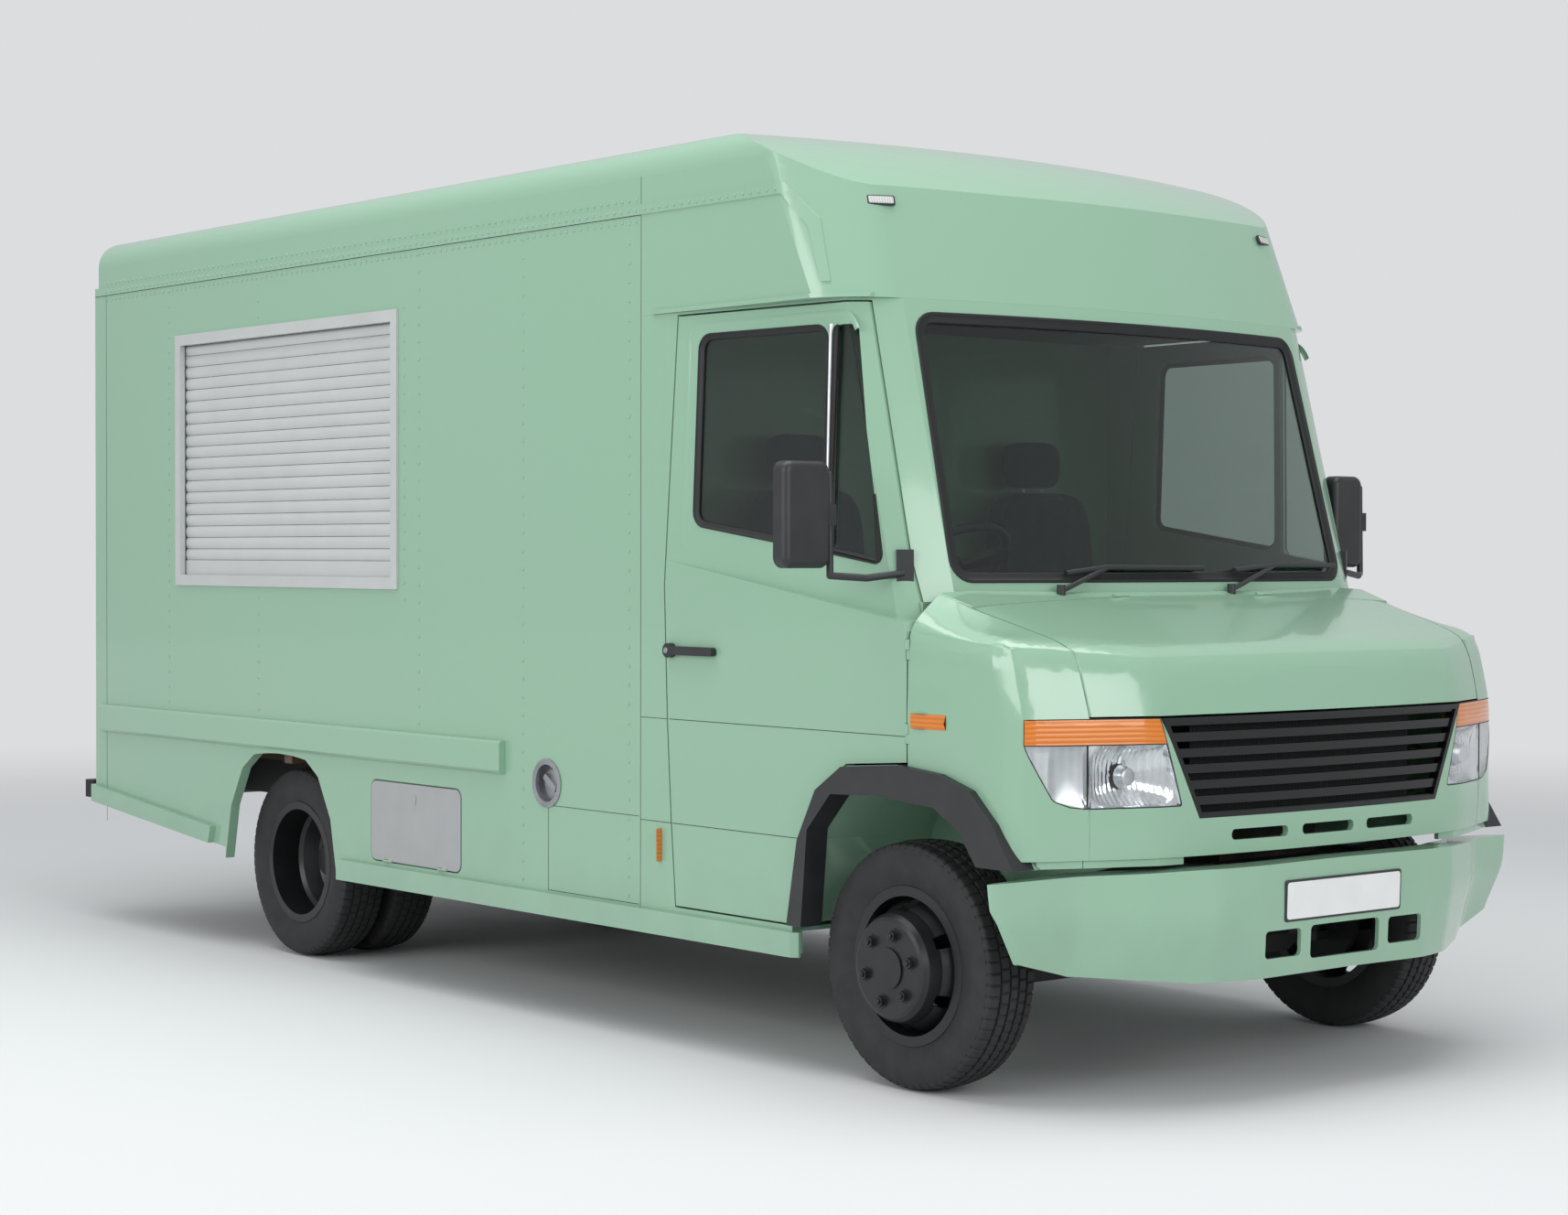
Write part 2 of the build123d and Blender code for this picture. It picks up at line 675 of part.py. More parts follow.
# Filler: screwed ring round a recessed cup with its black cap
filler_x = at(x_filler)
with BuildPart() as filler_port:
    with BuildSketch(Plane.XZ.offset(half_width + seat_gap)):
        with Locations((filler_x, filler_height)):
            Circle(filler_radius)
            Circle(filler_radius - 20, mode=Mode.SUBTRACT)
    extrude(amount=5)
    with BuildSketch(Plane.XZ.offset(inner_half)):
        with Locations((filler_x, filler_height)):
            Circle(filler_radius - 17)
            Circle(filler_radius - 20, mode=Mode.SUBTRACT)
    extrude(amount=wall + 5)
    with BuildSketch(Plane.XZ.offset(inner_half)):
        with Locations((filler_x, filler_height)):
            Circle(filler_radius - 18)
    extrude(amount=5)
    with BuildSketch(Plane.XZ.offset(inner_half + 5)):
        with Locations((filler_x, filler_height)):
            Circle(46)
    extrude(amount=14)
    with BuildSketch(Plane.XZ.offset(inner_half + 19)):
        with Locations(Location((filler_x, filler_height), -35)):
            RectangleRounded(84, 24, 8)
    extrude(amount=12)
finish(filler_port, "filler_port")

# Hatch frame: flat border outside the skin with a lip into the opening
with BuildPart() as hatch_frame:
    hatch_mid = (mid_x, (hatch_bottom + hatch_top) / 2)
    inner_w = hatch_inner[1] - hatch_inner[0]
    inner_h = hatch_inner[3] - hatch_inner[2]
    with BuildSketch(Plane.XZ.offset(half_width + seat_gap)):
        with Locations(hatch_mid):
            Rectangle(x_hatch_front - x_hatch_rear, hatch_top - hatch_bottom)
            Rectangle(inner_w - 12, inner_h - 12, mode=Mode.SUBTRACT)
    extrude(amount=hatch_frame_proud)
    with BuildSketch(Plane.XZ.offset(half_width - shutter_depth + 6)):
        with Locations(hatch_mid):
            Rectangle(inner_w - 2 * seat_gap, inner_h - 2 * seat_gap)
            Rectangle(inner_w - 12, inner_h - 12, mode=Mode.SUBTRACT)
    extrude(amount=shutter_depth)
finish(hatch_frame, "hatch_frame")

# Roller shutter: rounded slats on one curtain with a flat bottom rail
curtain_low = hatch_inner[2] + 0.5
curtain_high = hatch_inner[3] - 1
slat_pitch = (curtain_high - curtain_low - bottom_rail_height) / slat_count
curtain_y = half_width - shutter_depth
with BuildPart() as hatch_shutter:
    with BuildSketch(Plane.YZ.offset(at(hatch_inner[0]) + 1)):
        with BuildLine():
            base = -curtain_y + slat_thickness
            z = curtain_low
            Line((base, z), (-curtain_y, z))
            Line((-curtain_y, z), (-curtain_y, z + bottom_rail_height))
            Line((-curtain_y, z + bottom_rail_height), (base - 6, z + bottom_rail_height))
            z = z + bottom_rail_height
            for row in range(slat_count):
                top = z + slat_pitch
                ThreePointArc((base - 6, z), (-curtain_y, z + slat_pitch * 0.45), (base - 6, top))
                z = top
            Line((base - 6, z), (base, z))
            Line((base, z), (base, curtain_low))
        make_face()
    extrude(amount=hatch_inner[1] - hatch_inner[0] - 2)
    # Shoes that run in the pocket's sides
    for z in (curtain_low + 33, curtain_high - 60):
        for x in (at(hatch_inner[0]) - shutter_side / 2 + 2, at(hatch_inner[1]) + shutter_side / 2 - 2):
            with Locations((x, -curtain_y + slat_thickness / 2 + 1, z)):
                Box(shutter_side + 4 - 2 * seat_gap, slat_thickness - 4, 50)
finish(hatch_shutter, "hatch_shutter")

# Roof: skin with rounded long edges, closed at the rear, and the riveted rail along its joint
rail_band = (2731.0, 2764.0)
rail_proud = 4.0
with BuildPart() as body_roof:
    extrude(roof_section(0, roof_joint_height, rear_face_x), amount=at(x_box_seam) - seat_gap / 2 - rear_face_x)
    rim_edges = body_roof.faces().sort_by(Axis.X)[0].edges()
    fillet([edge for edge in rim_edges if edge.center().Z > roof_joint_height + 10], 45)
    extrude(roof_section(wall, roof_joint_height - 10, rear_face_x + wall),
            amount=overall_length, mode=Mode.SUBTRACT)
    for side in (-1, 1):
        x_from = rear_face_x + 8
        x_to = at(x_box_seam) - seat_gap / 2
        with Locations(((x_from + x_to) / 2, side * (half_width + rail_proud / 2), roof_joint_height + 18)):
            Box(x_to - x_from, rail_proud, 34)
finish(body_roof, "body_roof")

# Rear frame: corner posts, header and valance round the two doors
door_sill_height = floor_bottom
valance = 30.0
hinge_reach = 14.0
rear_hinge_radius = 8.0
rear_hinge_height = 90.0
rear_hinge_levels = (1060.0, 1760.0, 2460.0)
with BuildPart() as rear_frame:
    with BuildSketch(Plane.YZ.offset(rear_face_x)):
        with Locations((0, (tail_high + roof_joint_height) / 2)):
            Rectangle(2 * half_width, roof_joint_height - tail_high)
        with Locations((0, (door_sill_height + roof_joint_height - 45) / 2)):
            Rectangle(2 * inner_half, roof_joint_height - 45 - door_sill_height, mode=Mode.SUBTRACT)
    extrude(amount=post_width - seat_gap / 2)
    with Locations((rear_face_x + valance + 100, 0, (tail_high + door_sill_height) / 2)):
        Box(200, 2 * inner_half, door_sill_height - tail_high + 2, mode=Mode.SUBTRACT)
    with Locations((rear_face_x, rail_y, (rail_bottom + rail_top) / 2), (rear_face_x, -rail_y, (rail_bottom + rail_top) / 2)):
        Box(3 * valance, rail_width + 2 * seat_gap, rail_top - rail_bottom + 2 * seat_gap, mode=Mode.SUBTRACT)
    for side in (-1, 1):
        for z in rear_hinge_levels:
            spot = (rear_face_x - hinge_reach, side * inner_half, z)
            add(hinge_half(spot, (0, 0, 1), (hinge_reach * 1.3, side * 12, 0), rear_hinge_radius, rear_hinge_height, False))
finish(rear_frame, "rear_frame")

# Rear doors with pressed panels, strap hinges and a lever
leaf_low = door_sill_height + door_gap
leaf_high = roof_joint_height - 45 - door_gap
for side, hand in ((-1, "right"), (1, "left")):
    inner_edge = 3.0
    outer_edge = inner_half - door_gap
    with BuildPart() as leaf_part:
        mid = (side * (inner_edge + outer_edge) / 2, (leaf_low + leaf_high) / 2)
        size = (outer_edge - inner_edge, leaf_high - leaf_low)
        with BuildSketch(Plane.YZ.offset(rear_face_x)):
            with Locations(mid):
                Rectangle(*size)
        extrude(amount=leaf_thickness)
        with BuildSketch(Plane.YZ.offset(rear_face_x - 1)):
            for share, part_height in ((0.235, 0.38), (-0.235, 0.38)):
                with Locations((mid[0], mid[1] + share * size[1])):
                    RectangleRounded(size[0] - 160, size[1] * part_height, 40)
        extrude(amount=7, mode=Mode.SUBTRACT)
        for z in rear_hinge_levels:
            spot = (rear_face_x - hinge_reach, side * inner_half, z)
            add(hinge_half(spot, (0, 0, 1), (0, -side * 60, 0), rear_hinge_radius, rear_hinge_height, True))
            with Locations((rear_face_x - hinge_reach / 2, side * (inner_half - 90), z + 22)):
                Box(hinge_reach + 8, 100, 42)
        if side < 0:
            with Locations((rear_face_x - 20, side * 60, 1400)):
                Box(14, 26, 170)
            with Locations((rear_face_x - 8, side * 60, 1440)):
                Box(18, 40, 60)
    finish(leaf_part, f"rear_door_{hand}")

# Tail lamps on the valance
with BuildPart() as rear_lamps:
    for side in (-1, 1):
        with BuildSketch(Plane.YZ.offset(rear_face_x - 34)):
            with Locations((side * (half_width - 190), 700)):
                RectangleRounded(300, 110, 22)
        extrude(amount=34 - seat_gap)
finish(rear_lamps, "rear_lamps")

# Rub rails along the floor line and along the tail's sloping edge
with BuildPart() as rub_rails:
    for side in (-1, 1):
        rear_x = -wheelbase - rear_wall_reach + 70
        outline = points_at(((rear_x, rub_bottom), (x_rub_front, rub_bottom), (x_rub_front, rub_top), (rear_x, rub_top)))
        y_out = half_width + seat_gap
        with BuildSketch(Plane.XZ.offset(-side * y_out)):
            Polygon(*outline, align=None)
        extrude(amount=-side * rub_proud)
        chamfer(rub_rails.edges().filter_by(Axis.X).group_by(Axis.Y)[-1 if side > 0 else 0], 9)
        tail_front = x_tail_rail_front
        tail_rear = -wheelbase - rear_wall_reach + 4
        outline = points_at(((tail_rear, tail_line(tail_rear)), (tail_front, tail_line(tail_front)),
                             (tail_front + 18, tail_line(tail_front) + tail_rail_height - 4),
                             (tail_rear, tail_line(tail_rear) + tail_rail_height)))
        with BuildSketch(Plane.XZ.offset(-side * y_out)):
            Polygon(*outline, align=None)
        extrude(amount=-side * rub_proud)
finish(rub_rails, "rub_rails")

# Sills from the rear arch to the front wheel, under the wall and the door
x_sill_rear = -wheelbase + arch_shift + rear_arch[0][0] + 36
with BuildPart() as sills:
    for side in (-1, 1):
        with BuildSketch(Plane.XY.offset(sill_bottom)):
            outer_y = side * (half_width + sill_proud)
            inner_y = side * (half_width + seat_gap)
            Polygon((at(x_sill_rear), inner_y), (at(x_sill_front), inner_y), (at(x_sill_front), side * (half_width + 8)),
                    (at(x_sill_front - 22), outer_y), (at(x_sill_rear), outer_y), align=None)
        extrude(amount=sill_top - sill_bottom)
finish(sills, "sills")


# Cab: glasshouse sections shrink upwards and lean back with the windscreen
def glasshouse(inset):
    sections = []
    for z in (glasshouse_low, cap_bottom):
        share = (z - screen_bottom_height) / (screen_top_height - screen_bottom_height)
        front = at(x_screen_bottom + share * (x_screen_top - x_screen_bottom)) - inset
        rear = at(x_box_seam) + seat_gap + inset
        side_y = half_width - glasshouse_inset + 12 * (1 - share) - inset
        full = half_width - inset
        edge = screen_half_width
        swept = front - pillar_sweep
        knee = (front - pillar_knee[0], pillar_knee[1] - 0.9 * inset)
        with BuildSketch(Plane.XY.offset(z)) as section:
            with BuildLine():
                Line((rear, full), (at(x_glasshouse_rear), full))
                Line((at(x_glasshouse_rear), full), (swept, side_y))
                ThreePointArc((swept, side_y), knee, (front, edge))
                ThreePointArc((front, edge), (front + screen_bulge, 0), (front, -edge))
                ThreePointArc((front, -edge), (knee[0], -knee[1]), (swept, -side_y))
                Line((swept, -side_y), (at(x_glasshouse_rear), -full))
                Line((at(x_glasshouse_rear), -full), (rear, -full))
                Line((rear, -full), (rear, full))
            make_face()
        sections.append(section.sketch)
    with BuildPart() as house:
        loft(sections, ruled=True)
    return house.part


x_cab_front = x_door_front_belt + door_gap / 2
belt_slope = (belt_rear_height - belt_front_height) / (x_belt_rear - x_door_front_belt)


def belt_line(x):
    return belt_front_height + belt_slope * (x - x_door_front_belt)


def cab_hull(inset):
    """Closed form of the cab's skin behind the nose, moved inwards by an inset."""
    low = skirt_bottom - (200 if inset else 0)
    rear = x_box_seam + seat_gap + inset
    ends = ((rear, low), (x_cab_front, low), (x_cab_front, belt_line(x_cab_front) - inset),
            (rear, belt_line(rear) - inset))
    with BuildPart() as hull:
        with BuildSketch(Plane.XZ):
            Polygon(*points_at(ends), align=None)
        extrude(amount=half_width - inset, both=True)
        if not inset:
            ridge = hull.faces().sort_by(Axis.Z)[-1].edges().group_by(SortBy.LENGTH)[-1]
            chamfer(ridge, 22, 30)
        add(glasshouse(inset))
    return hull.part


door_outline = points_at(((x_door_rear[0][0], door_top), *x_door_rear[1:3], (-1092.0, 735.0),
                          (-1068.0, door_bottom), (-478.0, door_bottom), (-428.0, 730.0), (-341.0, 895.0),
                          (-215.0, 975.0), (x_door_front_low, 994.0), (x_door_front_low, 1396.0),
                          (x_door_front_belt, 1410.0), (8.0, 1440.0), (-42.0, 1600.0),
                          (x_door_front_top, door_top)))
windows = (  # corners of the main pane and the quarter pane, with their corner radius
    (((-958.0, 2318.0), (-985.0, 1708.0), (-368.0, 1622.0), (-364.0, 2318.0)), 48.0),
    (((-338.0, 2318.0), (-342.0, 1618.0), (-100.0, 1582.0), (-250.0, 2318.0)), 26.0),
)


def side_prism(outline, y_near, y_far, margin=0.0, radius=0.0):
    """Upright outline in the side view, run across from one distance out to another."""
    with BuildPart() as prism:
        with BuildSketch(Plane.XZ.offset(y_near)):
            Polygon(*outline, align=None)
            if radius:
                fillet(vertices(), radius)
            if margin:
                offset(amount=margin, kind=Kind.INTERSECTION)
        extrude(amount=y_far - y_near)
    return prism.part


shell_outer = cab_hull(0)
shell_inner = cab_hull(wall)
pane_low = screen_opening_bottom
pane_high = screen_opening_top


def screen_prism(margin):
    corners = ((-screen_opening_half_low, pane_low), (screen_opening_half_low, pane_low),
               (screen_opening_half_high, pane_high), (-screen_opening_half_high, pane_high))
    with BuildPart() as prism:
        with BuildSketch(Plane.YZ.offset(at(-420))):
            Polygon(*corners, align=None)
            fillet(vertices(), 62)
            if margin:
                offset(amount=margin)
        extrude(amount=900)
    return prism.part


# Doors, with their panes; the left one is the right one mirrored
cab_hinge_radius = 7.5
cab_hinge_height = 60.0
cab_hinges = [(at(x_cab_front), -half_width, z) for z in (1080.0, 1330.0)]
with BuildPart() as door_right:
    add(shell_outer)
    add(shell_inner, mode=Mode.SUBTRACT)
    add(side_prism(door_outline, 900, 1300), mode=Mode.INTERSECT)
    for corners, radius in windows:
        add(side_prism(points_at(corners), 900, 1300, 0, radius), mode=Mode.SUBTRACT)
    for spot in cab_hinges:
        add(hinge_notch(spot, (0, 0, 1), cab_hinge_radius, cab_hinge_height), mode=Mode.SUBTRACT)
        add(hinge_half(spot, (0, 0, 1), (-14, 4, 0), cab_hinge_radius, cab_hinge_height, True))
finish(door_right, "door_right")
with BuildPart() as door_left:
    mirror(door_right.part, about=Plane.XZ)
finish(door_left, "door_left")

pane_outer = glasshouse(12)
pane_inner = glasshouse(12 + glass_thickness)
with BuildPart() as door_glass_right:
    for corners, radius in windows:
        with BuildPart(mode=Mode.PRIVATE) as pane:
            add(pane_outer)
            add(pane_inner, mode=Mode.SUBTRACT)
            add(side_prism(points_at(corners), 900, 1300, -seat_gap, radius), mode=Mode.INTERSECT)
        add(pane.part)
finish(door_glass_right, "door_glass_right")
with BuildPart() as door_glass_left:
    mirror(door_glass_right.part, about=Plane.XZ)
finish(door_glass_left, "door_glass_left")

with BuildPart() as windscreen:
    add(pane_outer)
    add(pane_inner, mode=Mode.SUBTRACT)
    add(screen_prism(-seat_gap), mode=Mode.INTERSECT)
finish(windscreen, "windscreen")

# Cab shell: pillars, back wall, floor, firewall, entry steps and wheel houses in one welding
house_inner_y = 560.0
house_outer_y = half_width - flare_depth
house_wall = 12.0
x_firewall = 20.0
cab_floor_top = 930.0
cab_floor_bottom = 900.0
step_inner_y = 800.0
step_tread = 436.0
arch_outer = points_at(((flare_outer[0][0], 250.0), *flare_outer, (flare_outer[-1][0], 250.0)))
arch_inner = points_at(((flare_inner[0][0], 250.0), *flare_inner, (flare_inner[-1][0], 250.0)))


def on_side(solid, side):
    """The right-hand solid, or its mirror image for the left."""
    return solid if side < 0 else mirror(solid, about=Plane.XZ, mode=Mode.PRIVATE)


house_shape = side_prism(points_at(flare_outer), house_inner_y, house_outer_y)
house_hollow = side_prism(arch_outer, house_inner_y + house_wall, house_outer_y + 1, -house_wall)
door_space = side_prism(door_outline, 890, 1310, door_gap)
arch_space = side_prism(arch_outer, house_outer_y, 1310, seat_gap)
with BuildPart() as cab_shell:
    add(shell_outer)
    add(shell_inner, mode=Mode.SUBTRACT)
    with BuildPart(mode=Mode.PRIVATE) as scuttle:
        add(glasshouse(wall / 2))
        with Locations((at(0), 0, 1470)):
            Box(3000, 3000, 20, mode=Mode.INTERSECT)
        with Locations((at(-750), 0, 1470)):
            Box(1500, 3000, 30, mode=Mode.SUBTRACT)
    add(scuttle.part)
    add(screen_prism(0), mode=Mode.SUBTRACT)
    # The lower front is open where the nose begins
    with Locations((at(x_cab_front), 0, 690)):
        Box(2 * wall + 6, 2 * half_width + 20, 2 * (belt_front_height - 40 - 690), mode=Mode.SUBTRACT)
    rear_x = at(x_box_seam) + seat_gap
    with Locations((rear_x, 0, cab_floor_bottom / 2)):
        Box(2 * wall + 20, 2 * step_inner_y, cab_floor_bottom, mode=Mode.SUBTRACT)
    with Locations(((rear_x + at(x_firewall)) / 2, 0, (cab_floor_top + cab_floor_bottom) / 2)):
        Box(at(x_firewall) - rear_x, 2 * step_inner_y, cab_floor_top - cab_floor_bottom)
    with Locations(((at(flare_outer[0][0]) + at(x_firewall)) / 2, 0, (cab_floor_top + cab_floor_bottom) / 2)):
        Box(at(x_firewall) - at(flare_outer[0][0]), 2 * house_outer_y, cab_floor_top - cab_floor_bottom)
    with Locations((at(x_firewall) - 10, 0, (cab_floor_bottom + 1470) / 2)):
        Box(20, 2 * house_outer_y - 80, 1470 - cab_floor_bottom)
    for side in (-1, 1):
        step_x = (rear_x + at(flare_outer[0][0]) + 6) / 2
        step_length = at(flare_outer[0][0]) + 6 - rear_x
        with Locations((step_x, side * (step_inner_y + inner_half) / 2, step_tread + 7)):
            Box(step_length, inner_half - step_inner_y + 8, 14)
        with Locations((step_x, side * (step_inner_y + 6), (step_tread + cab_floor_top) / 2)):
            Box(step_length, 12, cab_floor_top - step_tread)
        add(on_side(house_shape, side))
        add(on_side(house_hollow, side), mode=Mode.SUBTRACT)
        add(on_side(door_space, side), mode=Mode.SUBTRACT)
        add(on_side(arch_space, side), mode=Mode.SUBTRACT)
finish(cab_shell, "cab_shell")

# Arch flares, seated on the wheel houses' outer edge
with BuildPart() as arch_flares:
    for side in (-1, 1):
        ring_outer = side_prism(arch_outer, house_outer_y + seat_gap, half_width + flare_proud)
        ring_inner = side_prism(arch_inner, house_outer_y - 10, half_width + flare_proud + 10)
        with BuildPart(mode=Mode.PRIVATE) as ring:
            add(on_side(ring_outer, side))
            add(on_side(ring_inner, side), mode=Mode.SUBTRACT)
            with Locations((front_axle_x, side * half_width, 250)):
                Box(1400, 400, 2 * (flare_outer[0][1] - 250), mode=Mode.SUBTRACT)
            with Locations((front_axle_x + 500, side * half_width, 450)):
                Box(1000, 400, 2 * (flare_outer[-1][1] - 450), mode=Mode.SUBTRACT)
        add(ring.part)
finish(arch_flares, "arch_flares")


# High roof cap: raked front bulging like the screen, dome turned about the screen's centre
def cap_form(inset, bottom):
    sections = []
    for z, corner in ((cap_bottom, cap_low_corner), (cap_loft_top, cap_high_corner)):
        (ax, ay), (bx, by), (cx, cy), tip = corner
        with BuildSketch(Plane.XY.offset(z)) as section:
            rear = at(x_box_seam) + seat_gap / 2
            with BuildLine():
                Line((rear, ay - inset), (at(ax), ay - inset))
                ThreePointArc((at(ax), ay - inset), (at(bx) - 0.7 * inset, by - 0.7 * inset), (at(cx) - inset, cy))
                ThreePointArc((at(cx) - inset, cy), (at(tip) - inset, 0), (at(cx) - inset, -cy))
                ThreePointArc((at(cx) - inset, -cy), (at(bx) - 0.7 * inset, 0.7 * inset - by),
                              (at(ax), inset - ay))
                Line((at(ax), inset - ay), (rear, inset - ay))
                Line((rear, inset - ay), (rear, ay - inset))
            make_face()
        sections.append(section.sketch)
    bulge_radius = (screen_half_width ** 2 + screen_bulge ** 2) / (2 * screen_bulge)
    axis_x = at(x_cap_crease) - bulge_radius
    run = x_cap_crease - x_cap_flat
    drop = roof_top - cap_crease_height
    sweep = (run ** 2 + drop ** 2) / (2 * drop)
    half_run = run / 2
    half_drop = sweep - (sweep ** 2 - half_run ** 2) ** 0.5
    crease = (at(x_cap_crease) - inset, cap_crease_height - inset)
    with BuildPart() as dome:
        with BuildSketch(Plane.XZ):
            with BuildLine():
                flat = (at(x_cap_flat) - inset, roof_top - inset)
                Line((axis_x, roof_top - inset), flat)
                ThreePointArc(flat, (flat[0] + half_run, roof_top - half_drop - inset), crease)
                Line(crease, (crease[0] + 300, crease[1]))
                Line((crease[0] + 300, crease[1]), (crease[0] + 300, 2000))
                Line((crease[0] + 300, 2000), (axis_x, 2000))
                Line((axis_x, 2000), (axis_x, roof_top - inset))
            make_face()
        revolve(axis=Axis((axis_x, 0, 0), (0, 0, 1)))
    with BuildPart() as cap:
        loft(sections, ruled=True)
        extrude(roof_section(inset, bottom, at(x_box_seam) - 100), amount=1600, mode=Mode.INTERSECT)
        add(dome.part, mode=Mode.INTERSECT)
    return cap.part


cap_ledge = 14.0
cap_opening = ((x_box_seam - 10, 990.0), (-360.0, 990.0), (-310.0, 860.0), (-190.0, 0.5))
drip_proud = 9.0
x_drip_rear = -1194.0
x_drip_front = -225.0
band_outline = points_at(((x_box_seam - 50, 2770.0), (-520.0, 2770.0), (-392.0, 2648.0), (-327.0, 2450.0),
                          (-357.0, 2450.0), (-424.0, 2628.0), (-534.0, 2736.0), (x_box_seam - 50, 2736.0)))
drip_outline = points_at(((x_drip_rear, cap_bottom), (x_drip_front, cap_bottom), (x_drip_front, cap_bottom + 14),
                          (x_drip_rear, cap_bottom + 14)))
with BuildPart() as roof_cap:
    for proud, outline in ((rail_proud, band_outline), (drip_proud, drip_outline)):
        with BuildPart(mode=Mode.PRIVATE) as trim:
            add(cap_form(-proud, cap_bottom + seat_gap))
            with BuildPart(mode=Mode.PRIVATE) as reach:
                for side in (-1, 1):
                    add(on_side(side_prism(outline, 880, 1200), side))
            add(reach.part, mode=Mode.INTERSECT)
        add(trim.part)
    add(cap_form(0, cap_bottom + seat_gap))
    add(cap_form(wall, cap_bottom + cap_ledge), mode=Mode.SUBTRACT)
    with BuildSketch(Plane.XY.offset(cap_bottom - 10)):
        Polygon(*[(at(x), y) for x, y in cap_opening], *[(at(x), -y) for x, y in reversed(cap_opening)], align=None)
    extrude(amount=40, mode=Mode.SUBTRACT)
finish(roof_cap, "roof_cap")


# Nose: skin crossed from sections along it and plan outlines up it
def nose_form(inset):
    sections = []
    for x in (-40.0, 800.0):
        share = x / x_crease
        seam_y = hood_rear_y + share * (hood_front_y - hood_rear_y) - 0.4 * inset
        seam_z = hood_rear_height + share * (hood_front_height - hood_rear_height) - inset
        shoulder = shoulder_rear_height + share * (shoulder_front_height - shoulder_rear_height) - inset
        full = half_width - inset
        low = nose_bottom - (100 if inset else 0)
        with BuildSketch(Plane.YZ.offset(at(x))) as section:
            with BuildLine():
                Polyline((-seam_y, seam_z), (-full, shoulder), (-full, low), (full, low), (full, shoulder),
                         (seam_y, seam_z))
                ThreePointArc((seam_y, seam_z), (0, seam_z + hood_crown), (-seam_y, seam_z))
            make_face()
        sections.append(section.sketch)
    plans = []
    lean_top = 1600.0
    for z, shift in ((500.0, 0.0), (grille_top, 0.0), (lean_top, nose_lean * (lean_top - grille_top))):
        back = at(-40)
        corners = [(at(x) - shift - inset, y - 0.5 * inset) for x, y in zip(x_nose_corner, nose_corner_y)]
        bend_x = at(x_nose_corner[0] - 70) - shift
        full = half_width - inset
        with BuildSketch(Plane.XY.offset(z)) as plan:
            with BuildLine():
                Polyline((back, full), (bend_x, full), *corners)
                ThreePointArc(corners[-1], (at(x_nose_centre) - shift - inset, 0), (corners[-1][0], -corners[-1][1]))
                Polyline(*[(x, -y) for x, y in reversed(corners)], (bend_x, -full), (back, -full), (back, full))
            make_face()
        plans.append(plan.sketch)
    with BuildPart() as nose:
        loft(sections, ruled=True)
        with BuildPart(mode=Mode.PRIVATE) as plan_form:
            loft(plans, ruled=True)
        add(plan_form.part, mode=Mode.INTERSECT)
    return nose.part


def seam_at(x):
    return hood_rear_y + x / x_crease * (hood_front_y - hood_rear_y)


def seam_prism(low, high, margin):
    """Middle of the nose between the two hood seams."""
    half_rear = seam_at(-40.0) + margin
    half_front = seam_at(900.0) + margin
    with BuildPart() as prism:
        with BuildSketch(Plane.XY.offset(low)):
            Polygon((at(-40), -half_rear), (at(900), -half_front), (at(900), half_front), (at(-40), half_rear),
                    align=None)
        extrude(amount=high - low)
    return prism.part


def front_prism(outline, margin, x_from=470.0):
    """Outline seen from the front, run along the vehicle through the nose."""
    with BuildPart() as prism:
        with BuildSketch(Plane.YZ.offset(at(x_from))):
            Polygon(*outline, align=None)
            if margin:
                offset(amount=margin, kind=Kind.INTERSECTION)
        extrude(amount=500)
    return prism.part


nose_outer = nose_form(0)
nose_inner = nose_form(fender_skin)
cowl_space = glasshouse(-8)
lamp_top_inner = grille_half_top + 3
lamp_corners = ((nose_corner_y[0], lamp_amber_bottom), (1002.0, 908.0), (nose_corner_y[1], lamp_bottom),
                (613.0, lamp_bottom + 2), (668.0, lamp_amber_bottom))
amber_corners = ((nose_corner_y[0], grille_top), (nose_corner_y[0], lamp_amber_bottom),
                 (668.0, lamp_amber_bottom), (lamp_top_inner, grille_top))
grille_corners = ((-grille_half_top, grille_top), (grille_half_top, grille_top),
                  (grille_half_bottom, grille_bottom), (-grille_half_bottom, grille_bottom))
x_fender_start = x_cab_front + door_gap / 2


def mirrored_corners(corners, side):
    return [(side * y, z) for y, z in corners]


# Hood between the seams, from its hinge line at the cowl down to its lip over the grille
hood_gap = 7.0
x_hood_rear = 196.0
hood_hinge_radius = 6.0
hood_hinge_height = 70.0
hood_axis_height = 1486.0
hood_hinges = [(at(x_hood_rear - door_gap / 2), y, hood_axis_height) for y in (-330.0, 330.0)]
with BuildPart() as hood:
    add(nose_outer)
    add(nose_inner, mode=Mode.SUBTRACT)
    add(seam_prism(grille_top + hood_gap, 1700, -hood_gap / 2), mode=Mode.INTERSECT)
    with Locations((at(x_hood_rear) - 200, 0, 1400)):
        Box(400, 2400, 800, mode=Mode.SUBTRACT)
    for spot in hood_hinges:
        add(hinge_notch(spot, (0, 1, 0), hood_hinge_radius, hood_hinge_height), mode=Mode.SUBTRACT)
        add(hinge_half(spot, (0, 1, 0), (16, 0, -12), hood_hinge_radius, hood_hinge_height, True))
finish(hood, "hood")

